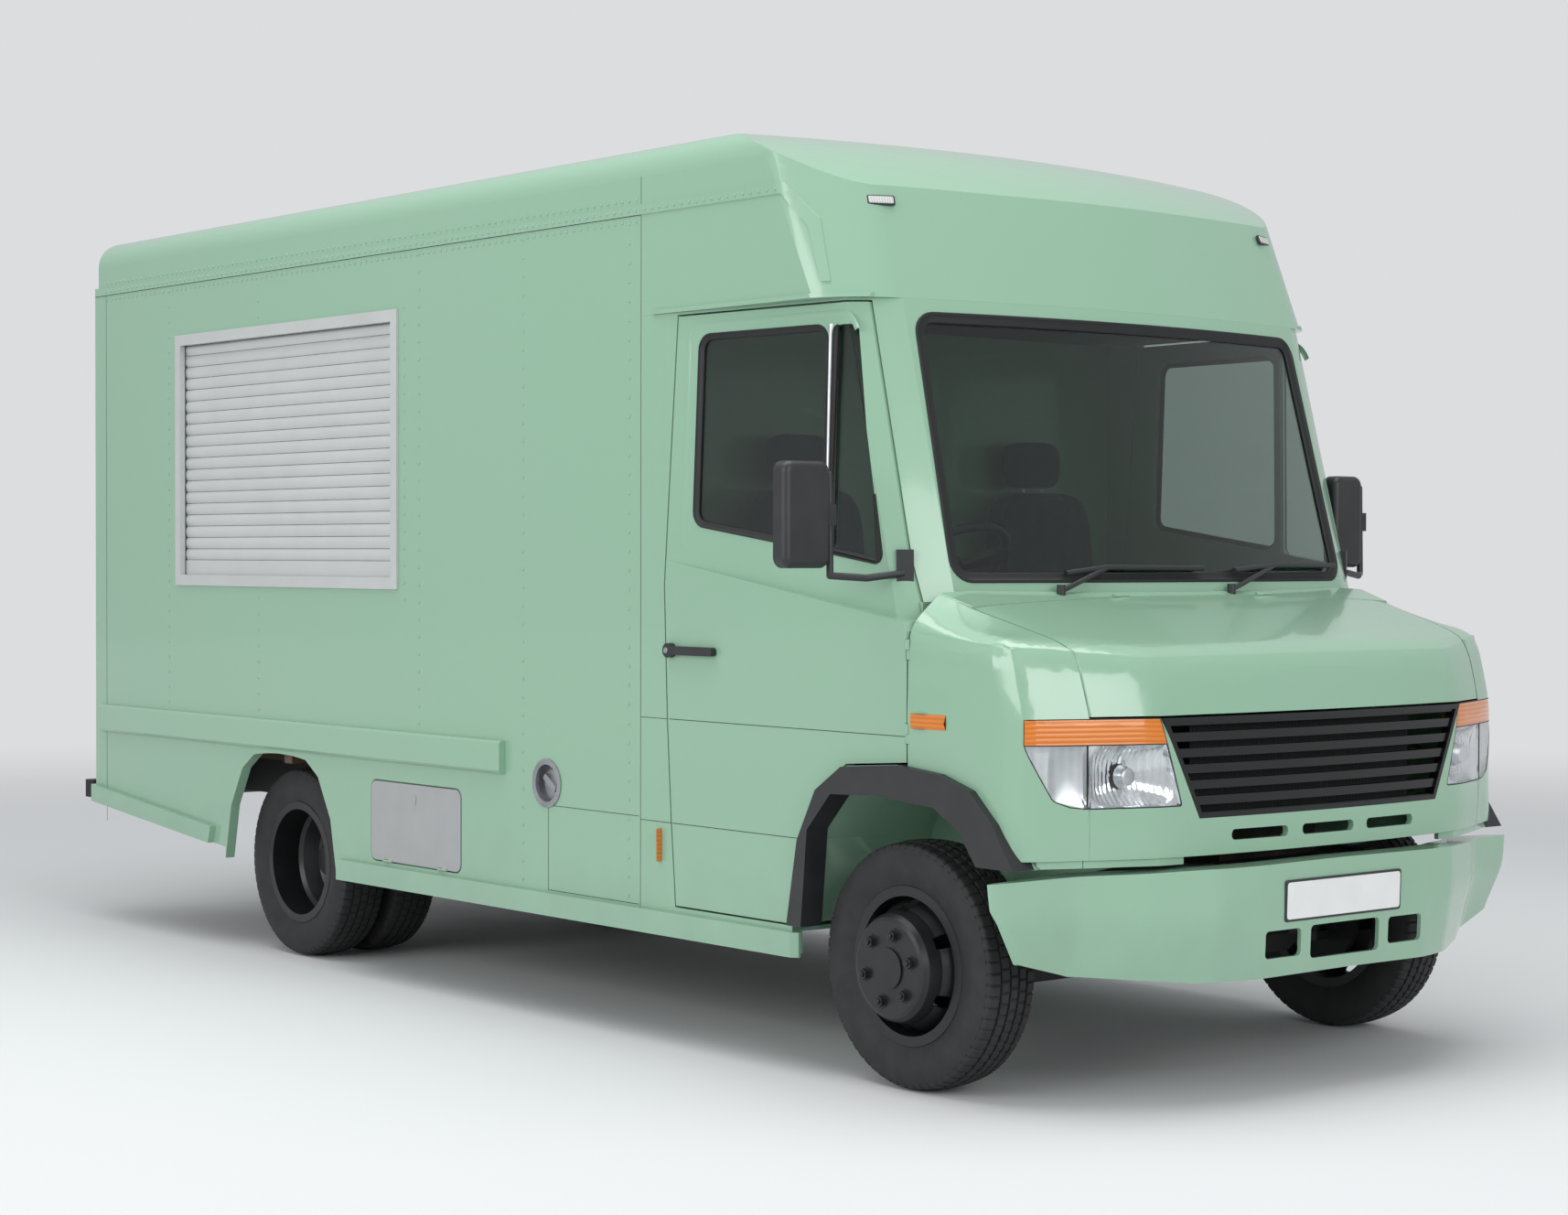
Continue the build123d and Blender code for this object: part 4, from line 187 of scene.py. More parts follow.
mats = {
    "paint": makeBodyPaint(),
    # grained moulded ABS: near black, with a soft sheen broken by its fine grain
    "plastic": makeFinish("grainedAbs", ("#2b2c2e", "#242527"), {"Roughness": 0.42, "IOR": 1.5}, 90.0, 2.5, 0.12),
    # polished ABS: deep black that mirrors what stands round it
    "glossBlack": makeFinish("glossAbs", ("#101113", "#0c0d0e"), {"Roughness": 0.22, "IOR": 1.5}, 90.0, 60.0, 0.1),
    # extruded EPDM: dull black with a weak, wide highlight
    "rubber": makeFinish("epdmSeal", ("#161718", "#101112"), {"Roughness": 0.55, "IOR": 1.5}, 90.0, 6.0, 0.1),
    # vulcanised tread rubber: dark grey, matt, a little uneven with wear
    "tyre": makeFinish("vulcanisedRubber", ("#2a2a2b", "#202021"), {"Roughness": 0.7, "IOR": 1.5}, 60.0, 5.0, 0.2),
    # stove enamel over a pressed wheel: satin black with soft highlights round its bends
    "wheel": makeFinish("stoveEnamel", ("#1d1e1f", "#151617"), {"Roughness": 0.36, "IOR": 1.5}, 90.0, 30.0, 0.15),
    # waxed chassis paint: flat brownish black that shows little but its edges
    "chassis": makeFinish("chassisWax", ("#1b1b1c", "#131314"), {"Roughness": 0.6, "IOR": 1.5}, 90.0, 14.0, 0.4),
    # sand-cast iron: rough warm grey, speckled
    "iron": makeFinish("castIron", ("#4a4845", "#332f2c"), {"Roughness": 0.75, "Metallic": 0.5}, 90.0, 3.0, 0.5),
    # rolled and lacquered aluminium slats: even pale grey with a crisp highlight along each bend
    "slats": makeFinish("lacqueredAluminium", ("#c6c8c8", "#c1c3c3"), {"Roughness": 0.3, "Metallic": 0.15}, 200.0,
                        4.0, 0.03, (0.05, 1.0, 1.0)),
    # the same lacquer on the hatch's frame, a shade duller
    "frame": makeFinish("lacqueredExtrusion", ("#bfc3c1", "#b8bcba"), {"Roughness": 0.42, "Metallic": 0.1}, 200.0,
                        4.0, 0.03),
    # anodised extrusion: bright grey metal with a soft grain drawn along it
    "bare": makeFinish("anodisedAluminium", ("#cfd1d3", "#c4c6c8"), {"Roughness": 0.3, "Metallic": 0.9}, 40.0, 5.0,
                       0.04, (0.1, 1.0, 1.0)),
    # powder coat on the locker lid: mid grey, faintly pebbled, dull
    "locker": makeFinish("powderCoat", ("#a4a5a6", "#a0a1a2"), {"Roughness": 0.5, "IOR": 1.5}, 90.0, 2.0, 0.06),
    # zinc plate: cold grey metal with a cloudy shine
    "steel": makeFinish("zincPlatedSteel", ("#b4b6b8", "#96989b"), {"Roughness": 0.35, "Metallic": 0.9}, 90.0, 3.0,
                        0.05),
    # silvered glass: an almost clean mirror
    "mirrorFace": makeFinish("silveredGlass", ("#d5d8da", "#d0d3d5"), {"Roughness": 0.03, "Metallic": 1.0}, 90.0,
                             300.0, 0.02),
    # aluminium laid on by vacuum: the bright inside of the lamp
    "reflector": makeFinish("vacuumAluminium", ("#e3e5e7", "#cfd2d5"), {"Roughness": 0.14, "Metallic": 1.0}, 90.0,
                            20.0, 0.1),
    # the same, frosted: an even pale grey without a picture in it
    "cornerSilver": makeFinish("frostedReflector", ("#d6d9da", "#c6cacb"), {"Roughness": 0.38, "Metallic": 0.8},
                               90.0, 12.0, 0.1),
    # film-faced ply: dark brown, sealed, with long faint patches
    "floor": makeFinish("phenolicPly", ("#5c4633", "#4d3a2a"), {"Roughness": 0.5, "IOR": 1.5}, 120.0, 2.0, 0.3),
    # retroreflective sheet on the bare plate: flat white with a dull gloss
    "plate": makeFinish("retroSheet", ("#e4e5e4", "#dedfde"), {"Roughness": 0.35, "IOR": 1.5}, 90.0, 2.0, 0.03),
    "fabric": makeCloth("wovenPolyester", ("#34373a", "#26282b"), 5.0),
    # amber acrylic: deep orange with fine level ribs and a wet shine
    "amber": makeLens("amberAcrylic", ("#dc7f24", "#c96d15"), {"Roughness": 0.16, "IOR": 1.49, "Coat Weight": 0.5,
                      "Coat Roughness": 0.03}, 14.0, 0.5),
    # red acrylic: the same in dark red
    "red": makeLens("redAcrylic", ("#b3140f", "#8c0d0a"), {"Roughness": 0.16, "IOR": 1.49, "Coat Weight": 0.5,
                    "Coat Roughness": 0.03}, 12.0, 0.5),
    # opal acrylic: milky grey with close upright ribs
    "markerWhite": makeLens("opalAcrylic", ("#d3d5d1", "#b4b7b4"), {"Roughness": 0.2, "IOR": 1.49,
                            "Coat Weight": 0.4, "Coat Roughness": 0.03}, 8.0, 0.4, "Y"),
    # polycarbonate: clear, with a hard sparkle on its face
    "clear": makeLens("polycarbonate", ("#fbfcfc", "#f3f5f6"), {"Roughness": 0.02, "IOR": 1.3,
                      "Transmission Weight": 1.0}, 26.0, 0.05, "Y"),
    # toughened glass with a body tint: dims and greens what is behind it
    "glass": makeFinish("temperedGlass", ("#aab7b2", "#a8b4ae"), {"Roughness": 0.0, "IOR": 1.45,
                        "Transmission Weight": 1.0}, 400.0, 400.0, 0.0),
}

# which finish each carried-over node wears
nodeFinish = {
    "paint": ("body_side_left", "body_side_right", "body_roof", "rear_frame", "rear_door_left", "rear_door_right",
              "door_left", "door_right", "cab_shell", "roof_cap", "hood", "cowl_panel", "fender_left",
              "fender_right", "front_panel", "bumper", "rub_rails", "sills"),
    "wheel": ("rim_front_left", "rim_front_right", "rims_rear_left", "rims_rear_right"),
    "plastic": ("arch_flares", "mirror_left", "mirror_right", "door_handle_left", "door_handle_right", "wipers",
                "dashboard", "steering_wheel"),
    "glossBlack": ("grille",),
    "chassis": ("chassis_frame", "front_axle", "rear_axle", "knuckle_left", "knuckle_right", "leaf_springs",
                "drive_shaft", "fuel_tank"),
    "iron": ("engine_block",),
    "glass": ("windscreen", "door_glass_left", "door_glass_right"),
    "amber": ("amber_lamps",),
    "red": ("rear_lamps",),
    "frame": ("hatch_frame",),
    "steel": ("filler_port",),
    "slats": ("hatch_shutter",),
    "locker": ("locker_lid",),
    "floor": ("body_floor",),
}
for finish, nodes in nodeFinish.items():
    for node in nodes:
        data = frame["nodes"][node].data
        data.materials.clear()
        data.materials.append(mats[finish])
print("materials made")


# millimetres from the front axle and the body's middle line, as metres in the frame
def placed(points):
    return (np.asarray(points, float) + (frontAxle, middleLine, 0.0)) / 1000.0


# quads between neighbouring rows and columns of a grid, joined round where it closes
def gridFaces(rows, cols, closeRows=False, closeCols=False, first=0):
    r = np.arange(rows if closeRows else rows - 1)
    c = np.arange(cols if closeCols else cols - 1)
    a = r[:, None] * cols + c
    b = r[:, None] * cols + (c + 1) % cols
    up = ((r + 1) % rows)[:, None] * cols
    return np.stack([a, b, up + (c + 1) % cols, up + c], -1).reshape(-1, 4) + first


# one finished piece from vertices in millimetres and its faces
def addPiece(name, verts, faces, finish, body, slot, smooth=True, recalc=True):
    mesh = bpy.data.meshes.new(name)
    mesh.from_pydata(placed(verts).tolist(), [], faces if isinstance(faces, list) else faces.tolist())
    if recalc:
        form = bmesh.new()
        form.from_mesh(mesh)
        bmesh.ops.remove_doubles(form, verts=form.verts, dist=1e-6)
        bmesh.ops.recalc_face_normals(form, faces=form.faces)
        form.to_mesh(mesh)
        form.free()
    mesh.update()
    if smooth:
        mesh.polygons.foreach_set("use_smooth", [True] * len(mesh.polygons))
        mesh.set_sharp_from_angle(angle=math.radians(35))
    mesh.materials.append(mats[finish])
    piece = bpy.data.objects.new(name, mesh)
    bpy.context.scene.collection.objects.link(piece)
    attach(piece, body)
    return piece


# several grids as one piece: their vertices end to end, their quads counted on
def joinGrids(grids):
    verts, faces, first = [], [], 0
    for points, closeRows, closeCols in grids:
        rows, cols = points.shape[:2]
        verts.append(points.reshape(-1, 3))
        faces.append(gridFaces(rows, cols, closeRows, closeCols, first))
        first += rows * cols
    return np.concatenate(verts), np.concatenate(faces)


# a profile of (sideways, outwards) carried along a path; outwards is given, sideways is
# the path's direction crossed with it
def carried(path, profile, outward, closed):
    path = np.asarray(path, float)
    outward = np.broadcast_to(np.asarray(outward, float), path.shape)
    if closed:
        along = np.roll(path, -1, 0) - np.roll(path, 1, 0)
    else:
        along = np.gradient(path, axis=0)
    along /= np.linalg.norm(along, axis=1, keepdims=True)
    outward = outward - along * (outward * along).sum(1, keepdims=True)
    outward = outward / np.linalg.norm(outward, axis=1, keepdims=True)
    side = np.cross(along, outward)
    profile = np.asarray(profile, float)
    return (path[:, None] + side[:, None] * profile[None, :, :1] + outward[:, None] * profile[None, :, 1:])


# points spaced evenly along a run of straight pieces
def evenly(points, count, closed=False):
    points = np.asarray(points, float)
    if closed:
        points = np.concatenate([points, points[:1]])
    run = np.concatenate([[0], np.cumsum(np.linalg.norm(np.diff(points, axis=0), axis=1))])
    at = np.linspace(0, run[-1], count, endpoint=not closed)
    return np.stack([np.interp(at, run, points[:, i]) for i in range(3)], 1)


# a rounded block: rings of a rounded rectangle, drawn in towards both ends
def softBlock(middle, half, corner, steps=4):
    angle = np.linspace(0, np.pi / 2, steps)
    quarter = np.stack([np.cos(angle), np.sin(angle)], 1) * corner
    turns = [(1, 1), (-1, 1), (-1, -1), (1, -1)]
    ring = []
    for i, (sx, sy) in enumerate(turns):
        part = quarter if i % 2 == 0 else quarter[::-1]
        ring.append(part * (sx, sy) + ((half[0] - corner) * sx, (half[1] - corner) * sy))
    ring = np.concatenate(ring)
    lift = min(corner, half[2]) * 0.5
    rows = []
    for shrink, z in ((1e-4, -half[2]), (lift, -half[2]), (0.0, -half[2] + lift), (0.0, half[2] - lift),
                      (lift, half[2]), (1e-4, half[2])):
        scale = 1 - shrink / np.array(half[:2]) if shrink > 1e-3 else np.array([1.0, 1.0])
        row = ring * scale if shrink != 1e-4 else ring * 1e-4
        rows.append(np.column_stack([row, np.full(len(ring), z)]))
    return np.stack(rows) + np.asarray(middle, float)


tyre = {"radius": 376.5, "treadHalf": 84.0, "bead": 222.0, "beadHalf": 74.0, "pitches": 66,
        "steps": 6, "groove": 8.0, "sipe": 5.0, "shoulderNotch": 6.0}


# tread and sidewalls as one grid: round the wheel by angle, across it by the profile's own
# length; the radius drops in four grooves round it, in slanting sipes across each rib and in
# notches at the shoulders
def tyreGrid():
    s = tyre
    side = np.array([[s["beadHalf"], s["bead"] + 1], [s["beadHalf"] + 9, s["bead"] + 16], [93, 262], [99, 284],
                     [102.5, 300], [102.0, 318], [98.0, 338], [93.5, 352], [91.5, 356], [91.0, 360],
                     [88.0, 364.5]])
    treadY = np.array([84, 78, 70, 62, 56.5, 55.5, 47.5, 46.5, 38, 30, 22, 20.5, 13, 12, 5, -5])
    across = np.concatenate([side[:, 0], treadY, -treadY[::-1][2:], -side[::-1, 0]])
    treadR = s["radius"] - 0.00105 * np.abs(treadY) ** 2.05
    radius = np.concatenate([side[:, 1], treadR, treadR[::-1][2:], side[::-1, 1]])
    angle = np.linspace(0, 2 * np.pi, s["pitches"] * s["steps"], endpoint=False)
    phase = (np.arange(len(angle)) % s["steps"])[:, None]
    y = np.broadcast_to(across, (len(angle), len(across)))
    r = np.broadcast_to(radius, y.shape).copy()
    tread = np.abs(y) <= s["treadHalf"] + 1
    inGroove = ((np.abs(y) >= 47.4) & (np.abs(y) <= 55.6)) | ((np.abs(y) >= 12.9) & (np.abs(y) <= 20.6))
    slant = (phase + np.where(np.abs(y) > 56, 0, np.where(np.abs(y) > 21, 2, 4))) % s["steps"]
    r -= np.where(tread & inGroove, s["groove"], 0)
    r -= np.where(tread & ~inGroove & (slant == 0), s["sipe"], 0)
    r -= np.where((np.abs(y) > 85) & (np.abs(y) < 92) & (phase == 0), s["shoulderNotch"], 0)
    theta = angle[:, None]
    return np.stack([r * np.sin(theta), y, r * np.cos(theta)], -1)


def makeTyre(name, x, y, body, node=None):
    verts = tyreGrid() + (x, y, axleHeight)
    rows, cols = verts.shape[:2]
    piece = addPiece(name, verts.reshape(-1, 3), gridFaces(rows, cols, True, False), "tyre", body, "tyre_rubber",
                     recalc=True)
    if node:
        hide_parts(node)
    return piece


for hand, side in (("right", -1), ("left", 1)):
    makeTyre(f"treadFront_{hand}", 0.0, side * 957.0, f"wheel_front_{hand}", f"tyre_front_{hand}")
    makeTyre(f"treadRearOuter_{hand}", rearAxle, side * 909.5, f"wheels_rear_{hand}", f"tyres_rear_{hand}")
    makeTyre(f"treadRearInner_{hand}", rearAxle, side * 669.5, f"wheels_rear_{hand}")
print("tyres made")

nuts = {"circle": 104.0, "front": (162.0, 17.0, 16.0), "rear": (0.0, 14.0, 22.0), "flange": (66.0, 58.0, 7.0, 6.0)}


# nuts in a ring: a six-sided prism with a narrower domed stud, turned about the wheel's axis
def nutGrids(x, y, side, circle, face, size, height, count=6, turn=0.0):
    grids = []
    hexagon = np.arange(6) * np.pi / 3
    for i in range(count):
        angle = turn + i * 2 * np.pi / count
        middle = np.array([x + circle * np.sin(angle), 0.0, axleHeight + circle * np.cos(angle)])
        rings = [(size * 1.35, 0.0), (size * 1.3, 3.0), (size, 3.2), (size, height), (size * 0.62, height + 1),
                 (size * 0.58, height + 7), (size * 0.3, height + 9), (0.01, height + 9)]
        points = np.stack([np.stack([middle[0] + r * np.sin(hexagon), np.full(6, y + side * (face + lift)),
                                     middle[2] + r * np.cos(hexagon)], 1) for r, lift in rings])
        grids.append((points, False, True))
    return grids


# rings about the wheel's axis through a table of radius and offset
def turnedGrid(x, y, side, stations, count=64):
    angle = np.linspace(0, 2 * np.pi, count, endpoint=False)
    return np.stack([np.stack([x + r * np.sin(angle), np.full(count, y + side * off),
                               axleHeight + r * np.cos(angle)], 1) for r, off in stations])


for hand, side in (("right", -1), ("left", 1)):
    grids = nutGrids(0.0, side * 957.0, side, nuts["circle"], *nuts["front"], turn=0.26)
    addPiece(f"wheelNuts_front_{hand}", *joinGrids(grids), "wheel", f"wheel_front_{hand}", "wheel_paint")
    rings = [(52.0, 162.0), (52.0, 165.5), (47.0, 167.0), (43.0, 167.0), (41.0, 163.5), (0.01, 163.5)]
    addPiece(f"hubCap_front_{hand}", *joinGrids([(turnedGrid(0.0, side * 957.0, side, rings), False, True)]),
             "wheel", f"wheel_front_{hand}", "wheel_paint")
    bead = [(241.0, 81.5), (243.5, 84.0), (241.0, 87.5), (236.0, 87.0), (234.0, 82.0)]
    addPiece(f"rimBead_front_{hand}", *joinGrids([(turnedGrid(0.0, side * 957.0, side, bead), False, True)]),
             "wheel", f"wheel_front_{hand}", "wheel_paint")
    y = side * 789.5
    grids = nutGrids(rearAxle, y, side, nuts["circle"], *nuts["rear"])
    hub = [(78.0, 50.0), (78.0, 56.0), (70.0, 60.0), (60.0, 84.0), (54.0, 90.0), (0.01, 92.0)]
    grids.append((turnedGrid(rearAxle, y, side, hub, 48), False, True))
    grids += nutGrids(rearAxle, y, side, *nuts["flange"], count=8)
    addPiece(f"wheelHub_rear_{hand}", *joinGrids(grids), "wheel", f"wheels_rear_{hand}", "wheel_paint")
    bead = [(241.0, 81.5), (243.5, 84.0), (241.0, 87.5), (236.0, 87.0), (234.0, 82.0)]
    addPiece(f"rimBead_rear_{hand}", *joinGrids([(turnedGrid(rearAxle, side * 909.5, side, bead), False, True)]),
             "wheel", f"wheels_rear_{hand}", "wheel_paint")
print("wheels made")


# the sharp rims of a node, each an ordered run of points in millimetres
def rimLoops(node, turn=50):
    form = bmesh.new()
    form.from_mesh(frame["nodes"][node].data)
    bmesh.ops.remove_doubles(form, verts=form.verts, dist=1e-5)
    links = {}
    for edge in form.edges:
        if len(edge.link_faces) == 2 and edge.calc_face_angle() > math.radians(turn):
            a, b = edge.verts
            links.setdefault(a.index, []).append(b.index)
            links.setdefault(b.index, []).append(a.index)
    form.verts.ensure_lookup_table()
    loops, seen = [], set()
    for start in links:
        run, at = [], start
        while at is not None and at not in seen:
            seen.add(at)
            run.append(at)
            at = next((n for n in links[at] if n not in seen), None)
        if len(run) > 8:
            loops.append(np.array([form.verts[i].co[:] for i in run]) * 1000.0 - (frontAxle, middleLine, 0.0))
    form.free()
    return loops


# a loop's outward side direction points away from its own middle
def directed(loop, outward):
    middle = loop.mean(0)
    along = np.roll(loop, -1, 0) - loop
    turn = np.cross(along, np.broadcast_to(outward, loop.shape))
    return loop if ((loop - middle) * turn).sum() > 0 else loop[::-1]


seals = {"doorReach": 15.0, "doorLip": 6.0, "screenReach": 24.0, "screenLip": 10.0}


def sealProfile(reach, lip):
    return [(-reach, -1.0), (-reach, 4.0), (-reach + 3, 7.0), (-reach * 0.4, 9.0), (-1.0, 12.5), (1.5, 15.5),
            (lip - 2, 15.5), (lip, 13.5), (lip, 10.5), (0.0, 4.0), (0.0, -1.0)]


for hand, side in (("right", -1), ("left", 1)):
    loops = rimLoops(f"door_glass_{hand}")
    loops = sorted(loops, key=lambda run: -len(run))
    outer = [run for run in loops if side * run[:, 1].mean() > np.mean([side * r[:, 1].mean() for r in loops])]
    grids = []
    for run in outer:
        run = directed(evenly(run, 160, True), (0, side, 0.05))
        grids.append((carried(run, sealProfile(seals["doorReach"], seals["doorLip"]), (0, side, 0.05), True),
                      True, True))
    addPiece(f"windowSeals_{hand}", *joinGrids(grids), "rubber", f"cab_door_{hand}", "black_plastic")

loops = rimLoops("windscreen")
run = max(loops, key=lambda r: r[:, 0].mean())
run = directed(evenly(run, 320, True), (1, 0, 0.26))
normal = np.stack([np.full(len(run), 1.0), run[:, 1] / 4100.0, np.full(len(run), 0.26)], 1)
addPiece("windscreenSeal", *joinGrids([(carried(run, sealProfile(seals["screenReach"], seals["screenLip"]), normal,
                                                True), True, True)]), "rubber", "vehicle", "black_plastic")
print("seals made", len(loops))


# distance out of the cab's side at a place along and a height
def sideSkin(x, z):
    x, z = np.asarray(x, float), np.asarray(z, float)
    share = (z - 1500.0) / 900.0
    swept = 46.0 - 237.0 * share - 100.0
    full = halfWidth - 57.0 + 12.0 * (1 - share)
    return halfWidth + (full - halfWidth) * (x + 1131.0) / (swept + 1131.0)


def onSide(path, side, lift=0.0):
    path = np.asarray(path, float)
    return np.stack([path[:, 0], side * (sideSkin(path[:, 0], path[:, 1]) + lift), path[:, 1]], 1)


# straight runs with their corners turned by a quadratic curve of that reach
def rounded(points, reach, steps=8):
    points = [np.asarray(p, float) for p in points]
    out = [points[0]]
    share = np.linspace(0, 1, steps)[:, None]
    for before, corner, after in zip(points, points[1:], points[2:]):
        a = corner + (before - corner) / np.linalg.norm(before - corner) * reach
        b = corner + (after - corner) / np.linalg.norm(after - corner) * reach
        out.extend((1 - share) ** 2 * a + 2 * share * (1 - share) * corner + share ** 2 * b)
    return np.array([*out, points[-1]])


stamped = ((-1040.0, 1640.0), (-1012.0, 2352.0), (-262.0, 2356.0), (-236.0, 2300.0))
for hand, side in (("right", -1), ("left", 1)):
    path = onSide(rounded(stamped, 60.0), side, -0.6)
    bead = [(-11, 0), (-7, 1.6), (-2, 2.6), (3, 2.2), (8, 1.0), (11, 0)]
    addPiece(f"stampedBorder_{hand}", *joinGrids([(carried(path, bead, (0, side, 0.05), False), False, False)]),
             "paint", f"cab_door_{hand}", "body_paint")
    bar = onSide([(-352.0, z) for z in np.linspace(1612.0, 2322.0, 12)], side, -2.0)
    halfRound = [(7.5 * math.cos(a), 7.0 * math.sin(a)) for a in np.linspace(0, math.pi, 9)]
    addPiece(f"windowDivider_{hand}", *joinGrids([(carried(bar, halfRound, (0, side, 0.05), False), False, False)]),
             "bare", f"cab_door_{hand}", "shutter_grey")

seamLines = {  # name: body, finish, half width, and runs of (along, height) on the outer skin
    "bodySeamsAndCreaseShade": ("vehicle", "rubber", 0.9, (((-1264.0, 372.0), (-1264.0, 2972.0 - 110.0)),
                                              ((-5183.0, 440.0), (-5183.0, 2735.0)),
                                              ((-5289.0, 2735.0), (-1264.0, 2735.0)),
                                              ((-1800.0, 740.0), (-1272.0, 740.0)),
                                              ((-1800.0, 740.0), (-1800.0, 446.0)),
                                              ((-1800.0, 446.0), (-1272.0, 446.0)),
                                              # painted shade: these two runs carry the door's creases across the
                                              # pillar; the runs above are dark panel joints
                                              ((-1262.0, 1071.0), (-1118.0, 1071.0)),
                                              ((-1262.0, 730.0), (-1090.0, 730.0)))),
    # painted shade: the door's two pressed creases drawn as dark strips
    "doorCreaseShade": ("cab_door", "rubber", 1.0, (((-1108.0, 1071.0), (54.0, 1071.0)),
                                               ((-1086.0, 730.0), (-432.0, 730.0)))),
}


# a shallow dark line lying on the flat of the body side, either a dark joint or painted shade along a crease: a flat
# strip along each run
def strips(runs, half, side, lift):
    grids = []
    for (x0, z0), (x1, z1) in runs:
        path = np.array([(x0, side * (halfWidth + lift), z0), (x1, side * (halfWidth + lift), z1)])
        profile = [(-half, -0.8), (-half, 0.0), (half, 0.0), (half, -0.8)]
        grids.append((carried(path, profile, (0, side, 0), False), False, False))
    return joinGrids(grids)


for name, (body, finish, half, runs) in seamLines.items():
    for hand, side in (("right", -1), ("left", 1)):
        rides = f"cab_door_{hand}" if body == "cab_door" else body
        addPiece(f"{name}_{hand}", *strips(runs, half, side, 0.6), finish, rides, "body_paint", smooth=False,
                 recalc=False)

# painted shadow: a dark strip in each joint of the shutter, where one slat hooks over the next
slatShadows = {"along": (-4490.0, -2820.0), "lowest": 1582.5, "pitch": 47.4, "count": 20, "face": 1074.6}
start, end = slatShadows["along"]
heights = slatShadows["lowest"] + slatShadows["pitch"] * np.arange(slatShadows["count"])
addPiece("slatShadows", *strips([((start, z), (end, z)) for z in heights], 1.8, -1, slatShadows["face"] - halfWidth),
         "rubber", "shutter", "shutter_grey", smooth=False, recalc=False)
print("seams made")

rivets = {"radius": 7.0, "height": 3.6, "column": 64.0, "band": 40.0}


# domed heads at given places: rings of eight points about each outward direction
def rivetMesh(places, outward, radius, height):
    places = np.asarray(places, float)
    outward = np.broadcast_to(np.asarray(outward, float), places.shape)
    first = np.cross(outward, (0.0, 0.0, 1.0) if abs(outward[0, 2]) < 0.9 else (1.0, 0.0, 0.0))
    first /= np.linalg.norm(first, axis=1, keepdims=True)
    second = np.cross(outward, first)
    angle = np.arange(8) * np.pi / 4
    rings = []
    for share, lift in ((1.0, -0.4), (0.86, 0.62), (0.5, 0.93)):
        rings.append(places[:, None] + radius * share * (np.cos(angle)[None, :, None] * first[:, None]
                     + np.sin(angle)[None, :, None] * second[:, None]) + outward[:, None] * height * lift)
    verts = np.stack(rings, 1).reshape(-1, 3)
    count = len(places)
    base = (np.arange(count) * 24)[:, None]
    k = np.arange(8)
    quads = np.concatenate([np.stack([base + r * 8 + k, base + r * 8 + (k + 1) % 8, base + (r + 1) * 8 + (k + 1) % 8,
                                      base + (r + 1) * 8 + k], -1).reshape(-1, 4) for r in (0, 1)])
    caps = (base + 16 + k).reshape(-1, 8)
    return verts, quads.tolist() + caps.tolist()


def columnOf(x, runs):
    return [(x, z) for low, high in runs for z in np.arange(low, high, rivets["column"])]


columns = {"right": ((-4600.0, ((985.0, 2715.0),)), (-3839.0, ((985.0, 1440.0), (2560.0, 2715.0))),
                     (-2740.0, ((1440.0, 2560.0),)), (-2637.0, ((985.0, 2715.0),)), (-1957.0, ((470.0, 2715.0),)),
                     (-1330.0, ((470.0, 2715.0),))),
           "left": ((-4600.0, ((985.0, 2715.0),)), (-3839.0, ((985.0, 2715.0),)), (-2637.0, ((985.0, 2715.0),)),
                    (-1957.0, ((470.0, 2715.0),)), (-1330.0, ((470.0, 2715.0),)))}
for hand, side in (("right", -1), ("left", 1)):
    spots = [spot for x, runs in columns[hand] for spot in columnOf(x, runs)]
    spots += [(x, 2716.0) for x in np.arange(-5170.0, -1275.0, rivets["band"])]
    spots += [(x, 2788.0) for x in np.arange(-5170.0, -1275.0, rivets["band"])]
    places = [(x, side * halfWidth, z) for x, z in spots]
    places += [(x, side * (halfWidth + 4.0), 2753.0) for x in np.arange(-5170.0, -1275.0, rivets["band"])]
    places += [(x, side * (halfWidth + 4.0), 2753.0) for x in np.arange(-1240.0, -535.0, rivets["band"])]
    verts, faces = rivetMesh(places, (0, side, 0), rivets["radius"], rivets["height"])
    addPiece(f"rivets_{hand}", verts, faces, "paint", "vehicle", "body_paint", recalc=True)
print("rivets made")

# pressed panels whose bends are round, where the model's panels meet at plain angles
softPanels = {
    "nose": {"middle": (100.0, 0.0, 800.0), "reach": 42.0, "cell": 26.0, "skin": ("hood", "fender_left",
             "fender_right", "front_panel", "amber_lamps", "headlamps"),
             "nodes": ("hood", "fender_left", "fender_right", "front_panel", "amber_lamps")},
    "bumper": {"middle": (250.0, 0.0, 590.0), "reach": 20.0, "cell": 16.0, "skin": ("bumper",),
               "nodes": ("bumper",)},
}


# a copy of a node's mesh, merged and cut by planes a cell apart so that it can bend
def cutCopy(node, cell):
    form = bmesh.new()
    form.from_mesh(frame["nodes"][node].data)
    bmesh.ops.remove_doubles(form, verts=form.verts, dist=1e-5)
    for edge in form.edges:
        edge.smooth = edge.calc_face_angle(0.0) < math.radians(50)  # rims stay sharp, bends don't
    low, high = (np.array(corner) * 1000.0 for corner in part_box(node))
    for axis in range(3):
        normal = [0.0, 0.0, 0.0]
        normal[axis] = 1.0
        for at in np.arange(math.ceil((low[axis] + 1) / cell), (high[axis] - 1) / cell) * cell / 1000.0:
            bmesh.ops.bisect_plane(form, geom=[*form.verts, *form.edges, *form.faces], dist=1e-6,
                                   plane_co=[at * n for n in normal], plane_no=normal)
    mesh = bpy.data.meshes.new(node)
    form.to_mesh(mesh)
    form.free()
    return mesh


# numbers of that width from a mesh's vertices or faces, as rows in millimetres or as they are
def rowsOf(items, key, width, scale=1.0):
    flat = np.empty(len(items) * width)
    items.foreach_get(key, flat)
    return flat.reshape(-1, width) * scale if width > 1 else flat


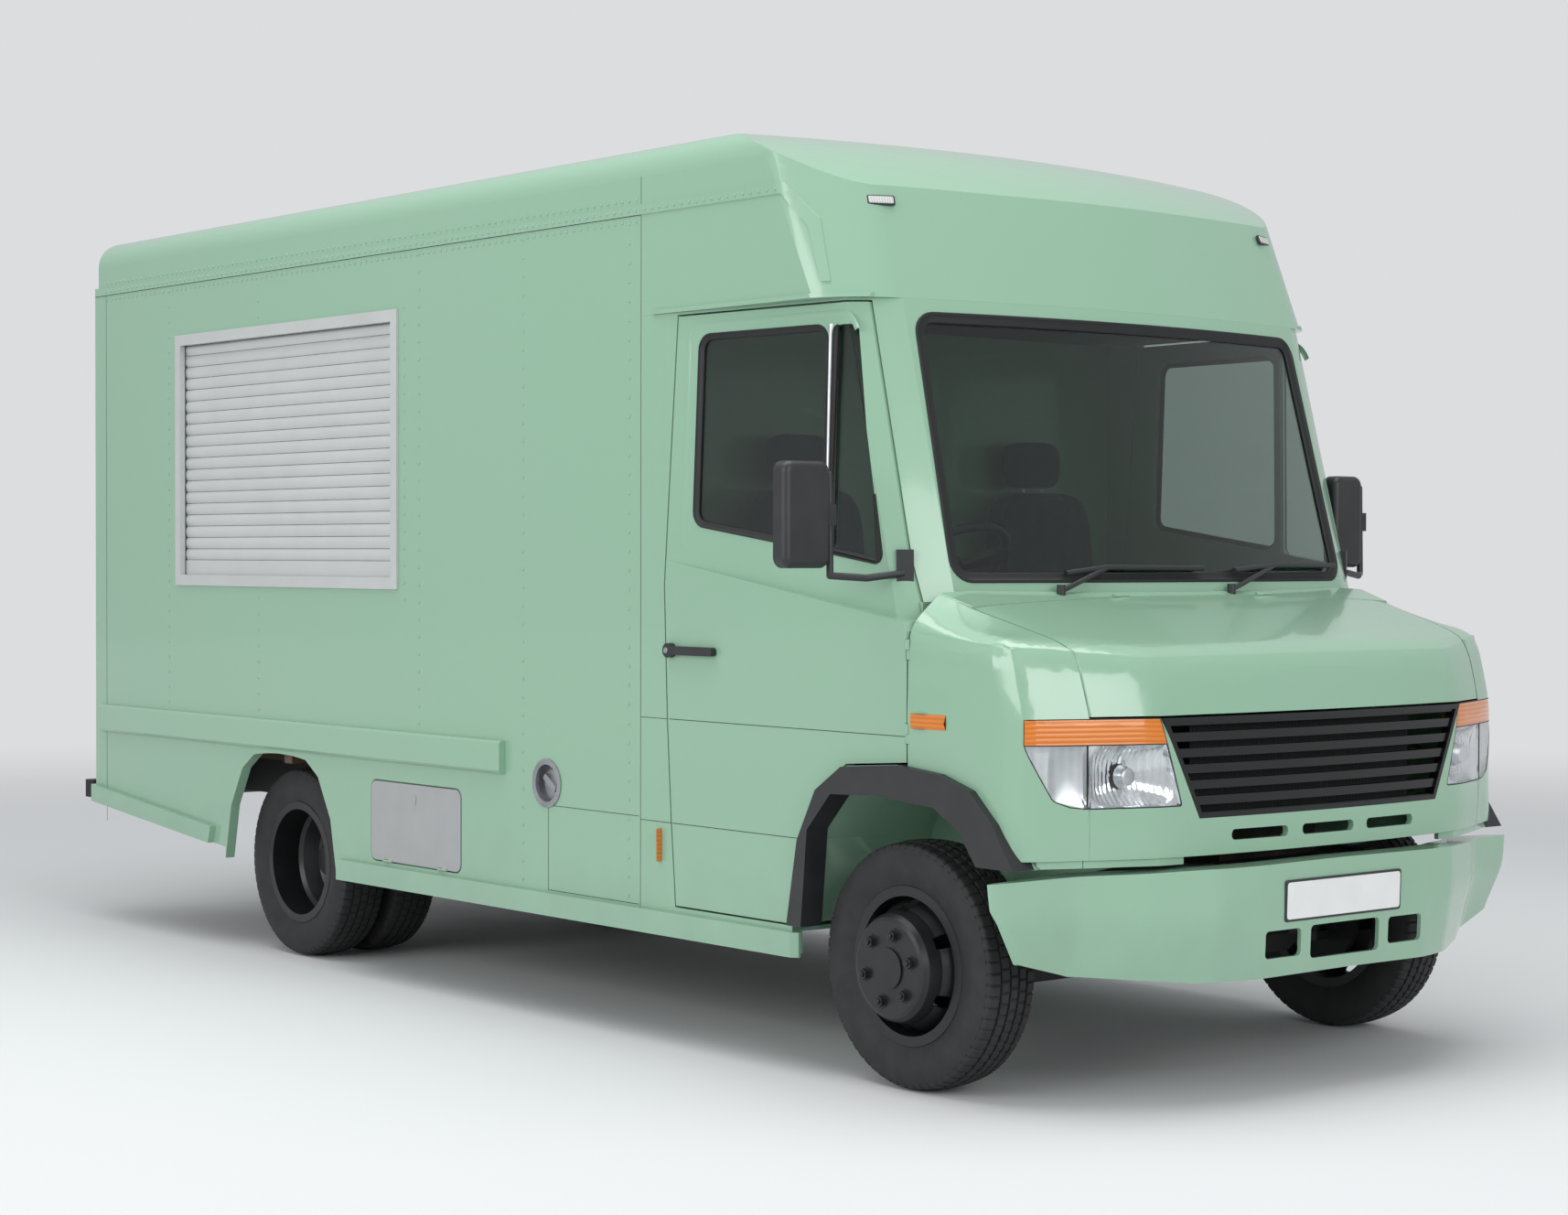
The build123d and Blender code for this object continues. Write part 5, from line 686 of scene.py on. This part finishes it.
# middles, directions and areas of the faces that look away from the panels' middle, without
# the walls of the holes cut straight through from the front
def outerSkin(meshes, middle):
    middle = np.array(middle) + (frontAxle, middleLine, 0.0)
    rows = [np.column_stack([rowsOf(m.polygons, "center", 3, 1000.0), rowsOf(m.polygons, "normal", 3),
                             rowsOf(m.polygons, "area", 1)]) for m in meshes]
    rows = np.concatenate(rows)
    away = rows[:, :3] - middle
    away /= np.linalg.norm(away, axis=1, keepdims=True)
    across, turn = np.abs(rows[:, 1] - middleLine), np.abs(rows[:, 3:6])
    wall = (turn[:, 0] < 0.05) & (across < 1080.0) & ((turn[:, 1] > 0.9) | (rows[:, 2] < 1150.0))
    return rows[((rows[:, 3:6] * away).sum(1) > 0.25) & ~wall]


# each point settles on the plane through the weighted mean of the skin near it, square to the
# skin's mean direction there, and keeps its own depth below the skin; worked through in blocks
# of points that lie together, each against the skin round it
def eased(points, skin, reach, cell):
    points = np.asarray(points, float).copy()
    block = np.floor(points / 150.0).astype(int)
    keys, member = np.unique(block, axis=0, return_inverse=True)
    for i in range(len(keys)):
        chosen = np.flatnonzero(member.ravel() == i)
        some = points[chosen]
        low, high = some.min(0) - 4 * reach - 30, some.max(0) + 4 * reach + 30
        local = skin[((skin[:, :3] > low) & (skin[:, :3] < high)).all(1)]
        if len(local) < 8:
            continue
        centre, normal, area = local[:, :3], local[:, 3:6], local[:, 6]
        square = (some ** 2).sum(1)[:, None] + (centre ** 2).sum(1) - 2 * some @ centre.T
        weight = np.exp((square.min(1)[:, None] - square) / (2 * reach * reach)) * area
        mean = weight @ normal
        mean /= np.linalg.norm(mean, axis=1, keepdims=True)
        facing = mean @ normal.T
        weight = weight * np.clip((facing - 0.3) / 0.3, 0, 1) ** 2
        mean = weight @ normal
        mean /= np.linalg.norm(mean, axis=1, keepdims=True)
        middle = weight @ centre / weight.sum(1, keepdims=True)
        below = (centre * normal).sum(1) - some @ normal.T
        close = (square < (np.sqrt(np.maximum(square.min(1), 0)) + cell)[:, None] ** 2) & (facing > 0.5)
        near = np.where(close, np.abs(below), 1e6).argmin(1)
        depth = np.where(close.any(1), below[np.arange(len(some)), near], 0.0)
        move = ((some - middle) * mean).sum(1) + depth
        points[chosen] = some - mean * np.clip(move, -4.0, 22.0)[:, None]
    return points


skins = {}
bodyOf = {node: body for body, nodes in frame["record"]["behaviour"]["bodies"].items() for node in nodes}
for name, s in softPanels.items():
    copies = {node: cutCopy(node, s["cell"]) for node in s["skin"]}
    skins[name] = outerSkin(copies.values(), s["middle"])
    for node in s["nodes"]:
        mesh = copies[node]
        verts = eased(rowsOf(mesh.vertices, "co", 3, 1000.0), skins[name], s["reach"], s["cell"])
        mesh.vertices.foreach_set("co", (verts / 1000.0).ravel())
        mesh.update()
        mesh.polygons.foreach_set("use_smooth", [True] * len(mesh.polygons))
        mesh.materials.clear()
        mesh.materials.append(mats["amber" if node == "amber_lamps" else "paint"])
        panel = bpy.data.objects.new(f"pressed_{node}", mesh)
        bpy.context.scene.collection.objects.link(panel)
        shading = panel.modifiers.new("shading", "WEIGHTED_NORMAL")
        shading.keep_sharp = True
        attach(panel, bodyOf[node])
        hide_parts(node)
    print("softened", name, sum(len(m.polygons) for m in copies.values()))


# points given from the body's middle, bent with the pressed panels
def bentWith(name, points):
    shift = np.array([frontAxle, middleLine, 0.0])
    flat = np.asarray(points, float).reshape(-1, 3) + shift
    s = softPanels[name]
    return (eased(flat, skins[name], s["reach"], s["cell"]) - shift).reshape(np.shape(points))


# a closed sheet: a grid, the same grid moved by its thickness, and the rim between them
def closedSheet(grid, thickness):
    rows, cols = grid.shape[:2]
    verts = np.concatenate([grid.reshape(-1, 3), (grid + thickness).reshape(-1, 3)])
    index = np.arange(rows * cols).reshape(rows, cols)
    rim = np.concatenate([index[0, :-1], index[:-1, -1], index[-1, :0:-1], index[:0:-1, 0]])
    after, count = np.roll(rim, -1), rows * cols
    return verts, np.concatenate([gridFaces(rows, cols), gridFaces(rows, cols)[:, ::-1] + count,
                                  np.stack([rim, after, after + count, rim + count], 1)])


# a rounded block turned so that its own axes lie along the three given ones
def turnedBlock(place, half, corner, axes, steps=5):
    grid = softBlock((0, 0, 0), half, corner, steps) @ np.asarray(axes, float) + np.asarray(place, float)
    return grid, False, True


headlamp = {"split": 905.0, "lens": 3.0, "bowl": 46.0, "corner": 14.0, "rim": 9.0, "flute": 15.0, "fluteDepth": 1.6,
            "shade": (775.0, 972.0)}


# how far forward the nose stands at a distance from the middle: straight runs, then one arc
def noseReach(y):
    y = np.abs(y)
    arc = 745.0 - (5793.0 - np.sqrt(5793.0 ** 2 - np.minimum(y, 700.0) ** 2))
    return np.where(y < 688.0, arc, np.interp(y, [688.0, 905.0, 1085.0], [704.0, 618.0, 535.0]))


# rows up the lamp and columns across one part of it, as distance from the middle and height
def lampGrid(outer, cols):
    z = np.concatenate([[884.0, 886.0, 890.0, 896.0, 904.0], np.linspace(914, 1064.5, 16)])
    inner = 614.0 + 55.0 * (z - 885.0) / 181.0
    edge = np.interp(z, [883.0, 890.0, 908.0, 1066.0], [905.0, 955.0, 1001.0, 1083.5])
    split = headlamp["split"]
    low = np.full(len(z), split + 1.0) if outer else inner
    high = np.maximum(edge, split + 1.5) if outer else np.full(len(z), split - 1.0)
    return low[:, None] + (high - low)[:, None] * np.linspace(0, 1, cols), np.broadcast_to(z[:, None], (len(z), cols))


# lens and reflector of one part of a headlamp: the reflector sinks behind the lens by a
# rounded-square bowl, with upright flutes in the main part
def makeLampPart(hand, side, outer):
    s = headlamp
    name = "cornerLamp" if outer else "mainLamp"
    y, z = lampGrid(outer, 30)
    lens = bentWith("nose", np.stack([noseReach(y) - 1.0, side * y, z], -1))
    addPiece(f"{name}Lens_{hand}", *closedSheet(lens, (-s["lens"], 0.0, 0.0)), "clear", "vehicle", "lamp_clear")
    y, z = lampGrid(outer, 60)
    a = (y - (949.0 if outer else 766.0)) / (60.0 if outer else 134.0)
    rho = np.clip((a ** 4 + ((z - 975.0) / 90.0) ** 4) ** 0.25, 0, 1)
    depth = s["rim"] + (s["corner"] if outer else s["bowl"]) * (1 - rho ** 2.2)
    if not outer:
        depth += s["fluteDepth"] * np.sin(2 * np.pi * y / s["flute"]) * (1 - rho ** 8)
    depth[0], depth[-1], depth[:, 0], depth[:, -1] = 4.6, 4.6, 4.6, 4.6
    bowl = bentWith("nose", np.stack([noseReach(y) - depth, side * y, z], -1))
    addPiece(f"{name}Reflector_{hand}", *closedSheet(bowl, (-1.5, 0.0, 0.0)), "cornerSilver" if outer else "reflector",
             "vehicle", "lamp_clear")


gasket = [(-1.6, -4.0), (-1.6, 0.2), (1.6, 0.2), (1.6, -4.0)]
for hand, side in (("right", -1), ("left", 1)):
    makeLampPart(hand, side, True)
    makeLampPart(hand, side, False)
    around = np.linspace(0, 2 * np.pi, 40, endpoint=False)
    x = float(noseReach(766.0))
    y, z = headlamp["shade"]
    shade = np.stack([np.stack([np.full(40, x - back), side * y + r * np.cos(around), z + r * np.sin(around)], 1)
                      for r, back in ((34, 50), (33, 40), (27, 30), (26, 22), (22, 19), (0.01, 18))])
    addPiece(f"bulbShade_{hand}", *joinGrids([(shade, False, True)]), "cornerSilver", "vehicle", "lamp_clear")
    lines = []
    for run, closed in ((((905.0, 884.0), (905.0, 1064.5)), False), (((1084.0, 1066.0), (669.0, 1066.0)), False),
                        (((1085.0, 1141.0), (1085.0, 1066.0), (1001.5, 908.0), (955.0, 889.0), (905.0, 883.2),
                          (613.0, 884.0), (669.0, 1066.0), (691.0, 1141.0)), True)):
        path = evenly(np.array([(0.0, y, z) for y, z in run]), 90 if closed else 30, closed)
        path = bentWith("nose", np.stack([noseReach(path[:, 1]), side * path[:, 1], path[:, 2]], 1))
        lines.append((carried(path, gasket, (0.9, side * 0.4, 0), closed), closed, False))
    addPiece(f"lampGasket_{hand}", *joinGrids(lines), "rubber", "vehicle", "black_plastic", smooth=False)
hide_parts("headlamps")
print("headlamps made")

# the radiator's core behind the grille: a dark sheet folded by upright fins
radiator = {"x": 640.0, "half": 505.0, "low": 800.0, "high": 1112.0, "fin": 16.0, "fold": 3.0, "thick": 30.0}
y, z = np.meshgrid(np.linspace(-radiator["half"], radiator["half"], 253), (radiator["low"], radiator["high"]))
core = np.stack([radiator["x"] + radiator["fold"] * np.sin(2 * np.pi * y / radiator["fin"]), y, z], -1)
addPiece("radiatorCore", *closedSheet(core, (-radiator["thick"], 0.0, 0.0)), "chassis", "vehicle", "engine_iron")

plateSeat = {"place": (819.5, -14.0, 591.0), "half": (260.0, 55.0, 1.6), "frame": (267.0, 62.0, 3.5), "lean": 0.03}
lean = plateSeat["lean"]
plateAxes = ((0, 1, 0), (lean, 0, 1), (1, 0, -lean))
x, y, z = plateSeat["place"]
addPiece("plateFrame", *joinGrids([turnedBlock((x - 3.0, y, z), plateSeat["frame"], 9.0, plateAxes)]), "plastic",
         "vehicle", "black_plastic")
addPiece("blankPlate", *joinGrids([turnedBlock((x, y, z), plateSeat["half"], 10.0, plateAxes)]), "plate",
         "vehicle", "lamp_clear")

# two small marker lamps on the roof's brow: a dark frame round a pale lens
for hand, side in (("right", -1), ("left", 1)):
    out = np.array([0.86, side * 0.36, 0.36])
    out /= np.linalg.norm(out)
    along = np.cross((0, 0, 1.0), out)
    along /= np.linalg.norm(along)
    axes = (along, np.cross(out, along), out)
    place = np.array([-307.0, side * 888.0, 2711.0])
    addPiece(f"markerFrame_{hand}", *joinGrids([turnedBlock(place, (47, 17, 4.5), 6.0, axes)]), "plastic",
             "vehicle", "black_plastic")
    addPiece(f"markerLens_{hand}", *joinGrids([turnedBlock(place + out * 3, (41, 12, 4), 4.0, axes)]),
             "markerWhite", "vehicle", "lamp_clear")

# mirror glass in the back of each head
for hand, low, high in (("right", -1420.0, -1240.0), ("left", 1072.0, 1218.0)):
    half = ((high - low) / 2 - 13.0, 147.0, 1.5)
    face = turnedBlock((-180.5, (low + high) / 2, 1730.0), half, 22.0, ((0, 1, 0), (0, 0, 1), (-1, 0, 0)))
    addPiece(f"mirrorGlass_{hand}", *joinGrids([face]), "mirrorFace", f"cab_door_{hand}", "glass")

# a key lock at the rear end of each door handle: a ring and barrel turned about its axis
doorLock = {"place": (-1098.0, 1297.0), "face": 1124.0,
            "rings": ((10.0, -6.0), (10.0, 1.2), (8.5, 2.2), (7.5, 1.4), (0.01, 1.4))}
for hand, side in (("right", -1), ("left", 1)):
    around = np.linspace(0, 2 * np.pi, 24, endpoint=False)
    x, z = doorLock["place"]
    ring = np.stack([np.stack([x + r * np.cos(around), np.full(24, side * (doorLock["face"] + off)),
                               z + r * np.sin(around)], 1) for r, off in doorLock["rings"]])
    addPiece(f"doorLock_{hand}", *joinGrids([(ring, False, True)]), "steel", f"cab_door_{hand}", "shutter_grey")
print("plate, markers, mirror glass and locks made")

seats = {
    "cushion": {"middle": (-820.0, 1205.0), "half": (262.0, 240.0, 74.0), "soft": 0.42, "channels": (-85.0, 85.0)},
    "back": {"middle": (-1060.0, 1525.0), "half": (78.0, 230.0, 312.0), "soft": 0.42, "channels": (-80.0, 80.0)},
    "headrest": {"middle": (-1112.0, 1936.0), "half": (44.0, 130.0, 84.0), "soft": 0.5, "channels": ()},
    "places": {"driver": -550.0, "passenger": 550.0}, "channelDepth": 7.0, "seam": 3.0, "lean": 0.06,
}


# a stuffed closed form: a ball's two angles taken through a power below one, so that its
# faces crown and its edges stay full; sewn channels sink across it and a seam runs round it
def padGrid(half, soft, channels):
    around = np.linspace(0, 2 * np.pi, 128, endpoint=False)[None, :]
    up = np.linspace(-np.pi / 2, np.pi / 2, 81)[:, None]
    level, rise = np.cos(up), np.sin(up) + 0 * around
    turns = (level * 0 + 1) * np.cos(around), (level * 0 + 1) * np.sin(around)
    share = np.stack([np.sign(v) * np.abs(v) ** soft for v in (*turns, rise)], -1)
    share[..., :2] *= (np.abs(level) ** soft)[..., None]
    grid = share * half
    thin = int(np.argmin(half))
    broad = [axis for axis in range(3) if axis != thin]
    grid[..., thin] *= 1 - 0.10 * (share[..., broad] ** 2).sum(-1)
    sink = sum((np.exp(-((grid[..., 1] - at) / 7.0) ** 2) for at in channels), np.zeros(grid.shape[:2]))
    edge = np.clip((np.abs(share[..., thin]) - 0.4) / 0.4, 0, 1)
    grid[..., thin] -= np.sign(share[..., thin]) * seats["channelDepth"] * sink * edge
    seam = seats["seam"] * np.exp(-((np.abs(share[..., thin]) - 0.72) / 0.035) ** 2)
    return grid * (1 - (seam / 240.0)[..., None])


for who, y in seats["places"].items():
    for part in ("cushion", "back", "headrest"):
        s = seats[part]
        grid = padGrid(s["half"], s["soft"], s["channels"])
        if part == "back":
            grid[..., 0] -= seats["lean"] * grid[..., 2]
        grid = grid + (s["middle"][0], y, s["middle"][1])
        addPiece(f"{part}Pad_{who}", *joinGrids([(grid, False, True)]), "fabric", "vehicle",
                             "seat_fabric")
    circle = [(6 * math.cos(a), 6 * math.sin(a)) for a in np.linspace(0, 2 * np.pi, 12, endpoint=False)]
    rods = [(carried(evenly([(-1095.0, y + at, 1790.0), (-1110.0, y + at, 1880.0)], 6), circle, (0, 1, 0), False),
             False, True) for at in (-45.0, 45.0)]
    addPiece(f"headrestRods_{who}", *joinGrids(rods), "steel", "vehicle", "seat_fabric")
    base = [turnedBlock((-830.0, y, 1030.0), (210, 200, 100), 20.0, np.eye(3)),
            turnedBlock((-850.0, y, 1128.0), (230, 190, 10), 8.0, np.eye(3))]
    addPiece(f"seatPedestal_{who}", *joinGrids(base), "plastic", "vehicle", "seat_fabric")
    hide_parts(f"seat_{who}")
print("seats made")

studio = {"colour": "#dcdddf", "floor": "#d9dadb", "half": 40.0, "fadeFrom": 5.5, "fadeTo": 15.0, "light": 0.62}


# pale floor that takes the shadow near the vehicle and fades with distance from it into the
# backdrop's colour, for rays that see it and not for its light on the object
def makeFloor():
    s = studio
    material, tree, shader, place = startMaterial("paleFloor", {"Roughness": 0.9,
                                                                "Base Color": linearColour(s["floor"])})
    rays = addNode(tree, "ShaderNodeLightPath").outputs
    glance = addNode(tree, "ShaderNodeMath", {0: rays["Is Glossy Ray"], 1: rays["Is Transmission Ray"]},
                     operation="MAXIMUM")
    seen = addNode(tree, "ShaderNodeMath", {0: rays["Is Camera Ray"], 1: glance.outputs[0]}, operation="MAXIMUM")
    away = addNode(tree, "ShaderNodeVectorMath", {0: place}, operation="LENGTH").outputs["Value"]
    fade = addNode(tree, "ShaderNodeMapRange", {"Value": away, "From Min": s["fadeFrom"], "From Max": s["fadeTo"]},
                   interpolation_type="SMOOTHSTEP")
    share = addNode(tree, "ShaderNodeMath", {0: seen.outputs[0], 1: fade.outputs[0]}, operation="MULTIPLY")
    pale = addNode(tree, "ShaderNodeEmission", {"Color": linearColour(s["colour"]), "Strength": 1.0})
    both = addNode(tree, "ShaderNodeMixShader", {0: share.outputs[0], 1: shader.outputs[0], 2: pale.outputs[0]})
    output = next(node for node in tree.nodes if node.type == "OUTPUT_MATERIAL")
    tree.links.new(both.outputs[0], output.inputs["Surface"])
    half = s["half"]
    mesh = bpy.data.meshes.new("floor")
    mesh.from_pydata([(-half, -half, 0), (half, -half, 0), (half, half, 0), (-half, half, 0)], [], [(0, 1, 2, 3)])
    mesh.materials.append(material)
    floor = bpy.data.objects.new("floor", mesh)
    bpy.context.scene.collection.objects.link(floor)


def makeWorld():
    world = bpy.data.worlds.new("studio")
    bpy.context.scene.world = world
    world.use_nodes = True
    tree = world.node_tree
    tree.nodes.clear()
    rays = addNode(tree, "ShaderNodeLightPath").outputs
    seen = addNode(tree, "ShaderNodeMath", {0: rays["Is Camera Ray"], 1: rays["Is Transmission Ray"]},
                   operation="MAXIMUM").outputs[0]
    light = addNode(tree, "ShaderNodeBackground", {"Color": linearColour("#eef1f4"), "Strength": studio["light"]})
    seenAs = addNode(tree, "ShaderNodeBackground", {"Color": linearColour(studio["colour"]), "Strength": 1.0})
    both = addNode(tree, "ShaderNodeMixShader", {0: seen, 1: light.outputs[0], 2: seenAs.outputs[0]})
    addNode(tree, "ShaderNodeOutputWorld", {"Surface": both.outputs[0]})


def addArea(name, place, target, size, power):
    data = bpy.data.lights.new(name, "AREA")
    data.shape = "RECTANGLE"
    data.size, data.size_y = size
    data.energy = power
    lamp = bpy.data.objects.new(name, data)
    lamp.location = place
    lamp.rotation_euler = (Vector(target) - Vector(place)).to_track_quat("-Z", "Y").to_euler()
    bpy.context.scene.collection.objects.link(lamp)


makeFloor()
makeWorld()
addArea("overhead", (1.0, -1.0, 8.5), (0.0, 0.0, 1.0), (9.0, 6.0), 520.0)
addArea("sideFill", (1.5, -11.0, 4.5), (0.0, 0.0, 1.4), (9.0, 4.0), 420.0)
addArea("frontFill", (11.0, -2.0, 4.0), (2.0, 0.0, 1.4), (5.0, 4.0), 260.0)
bpy.context.scene.view_settings.view_transform = "Standard"
print("studio made")
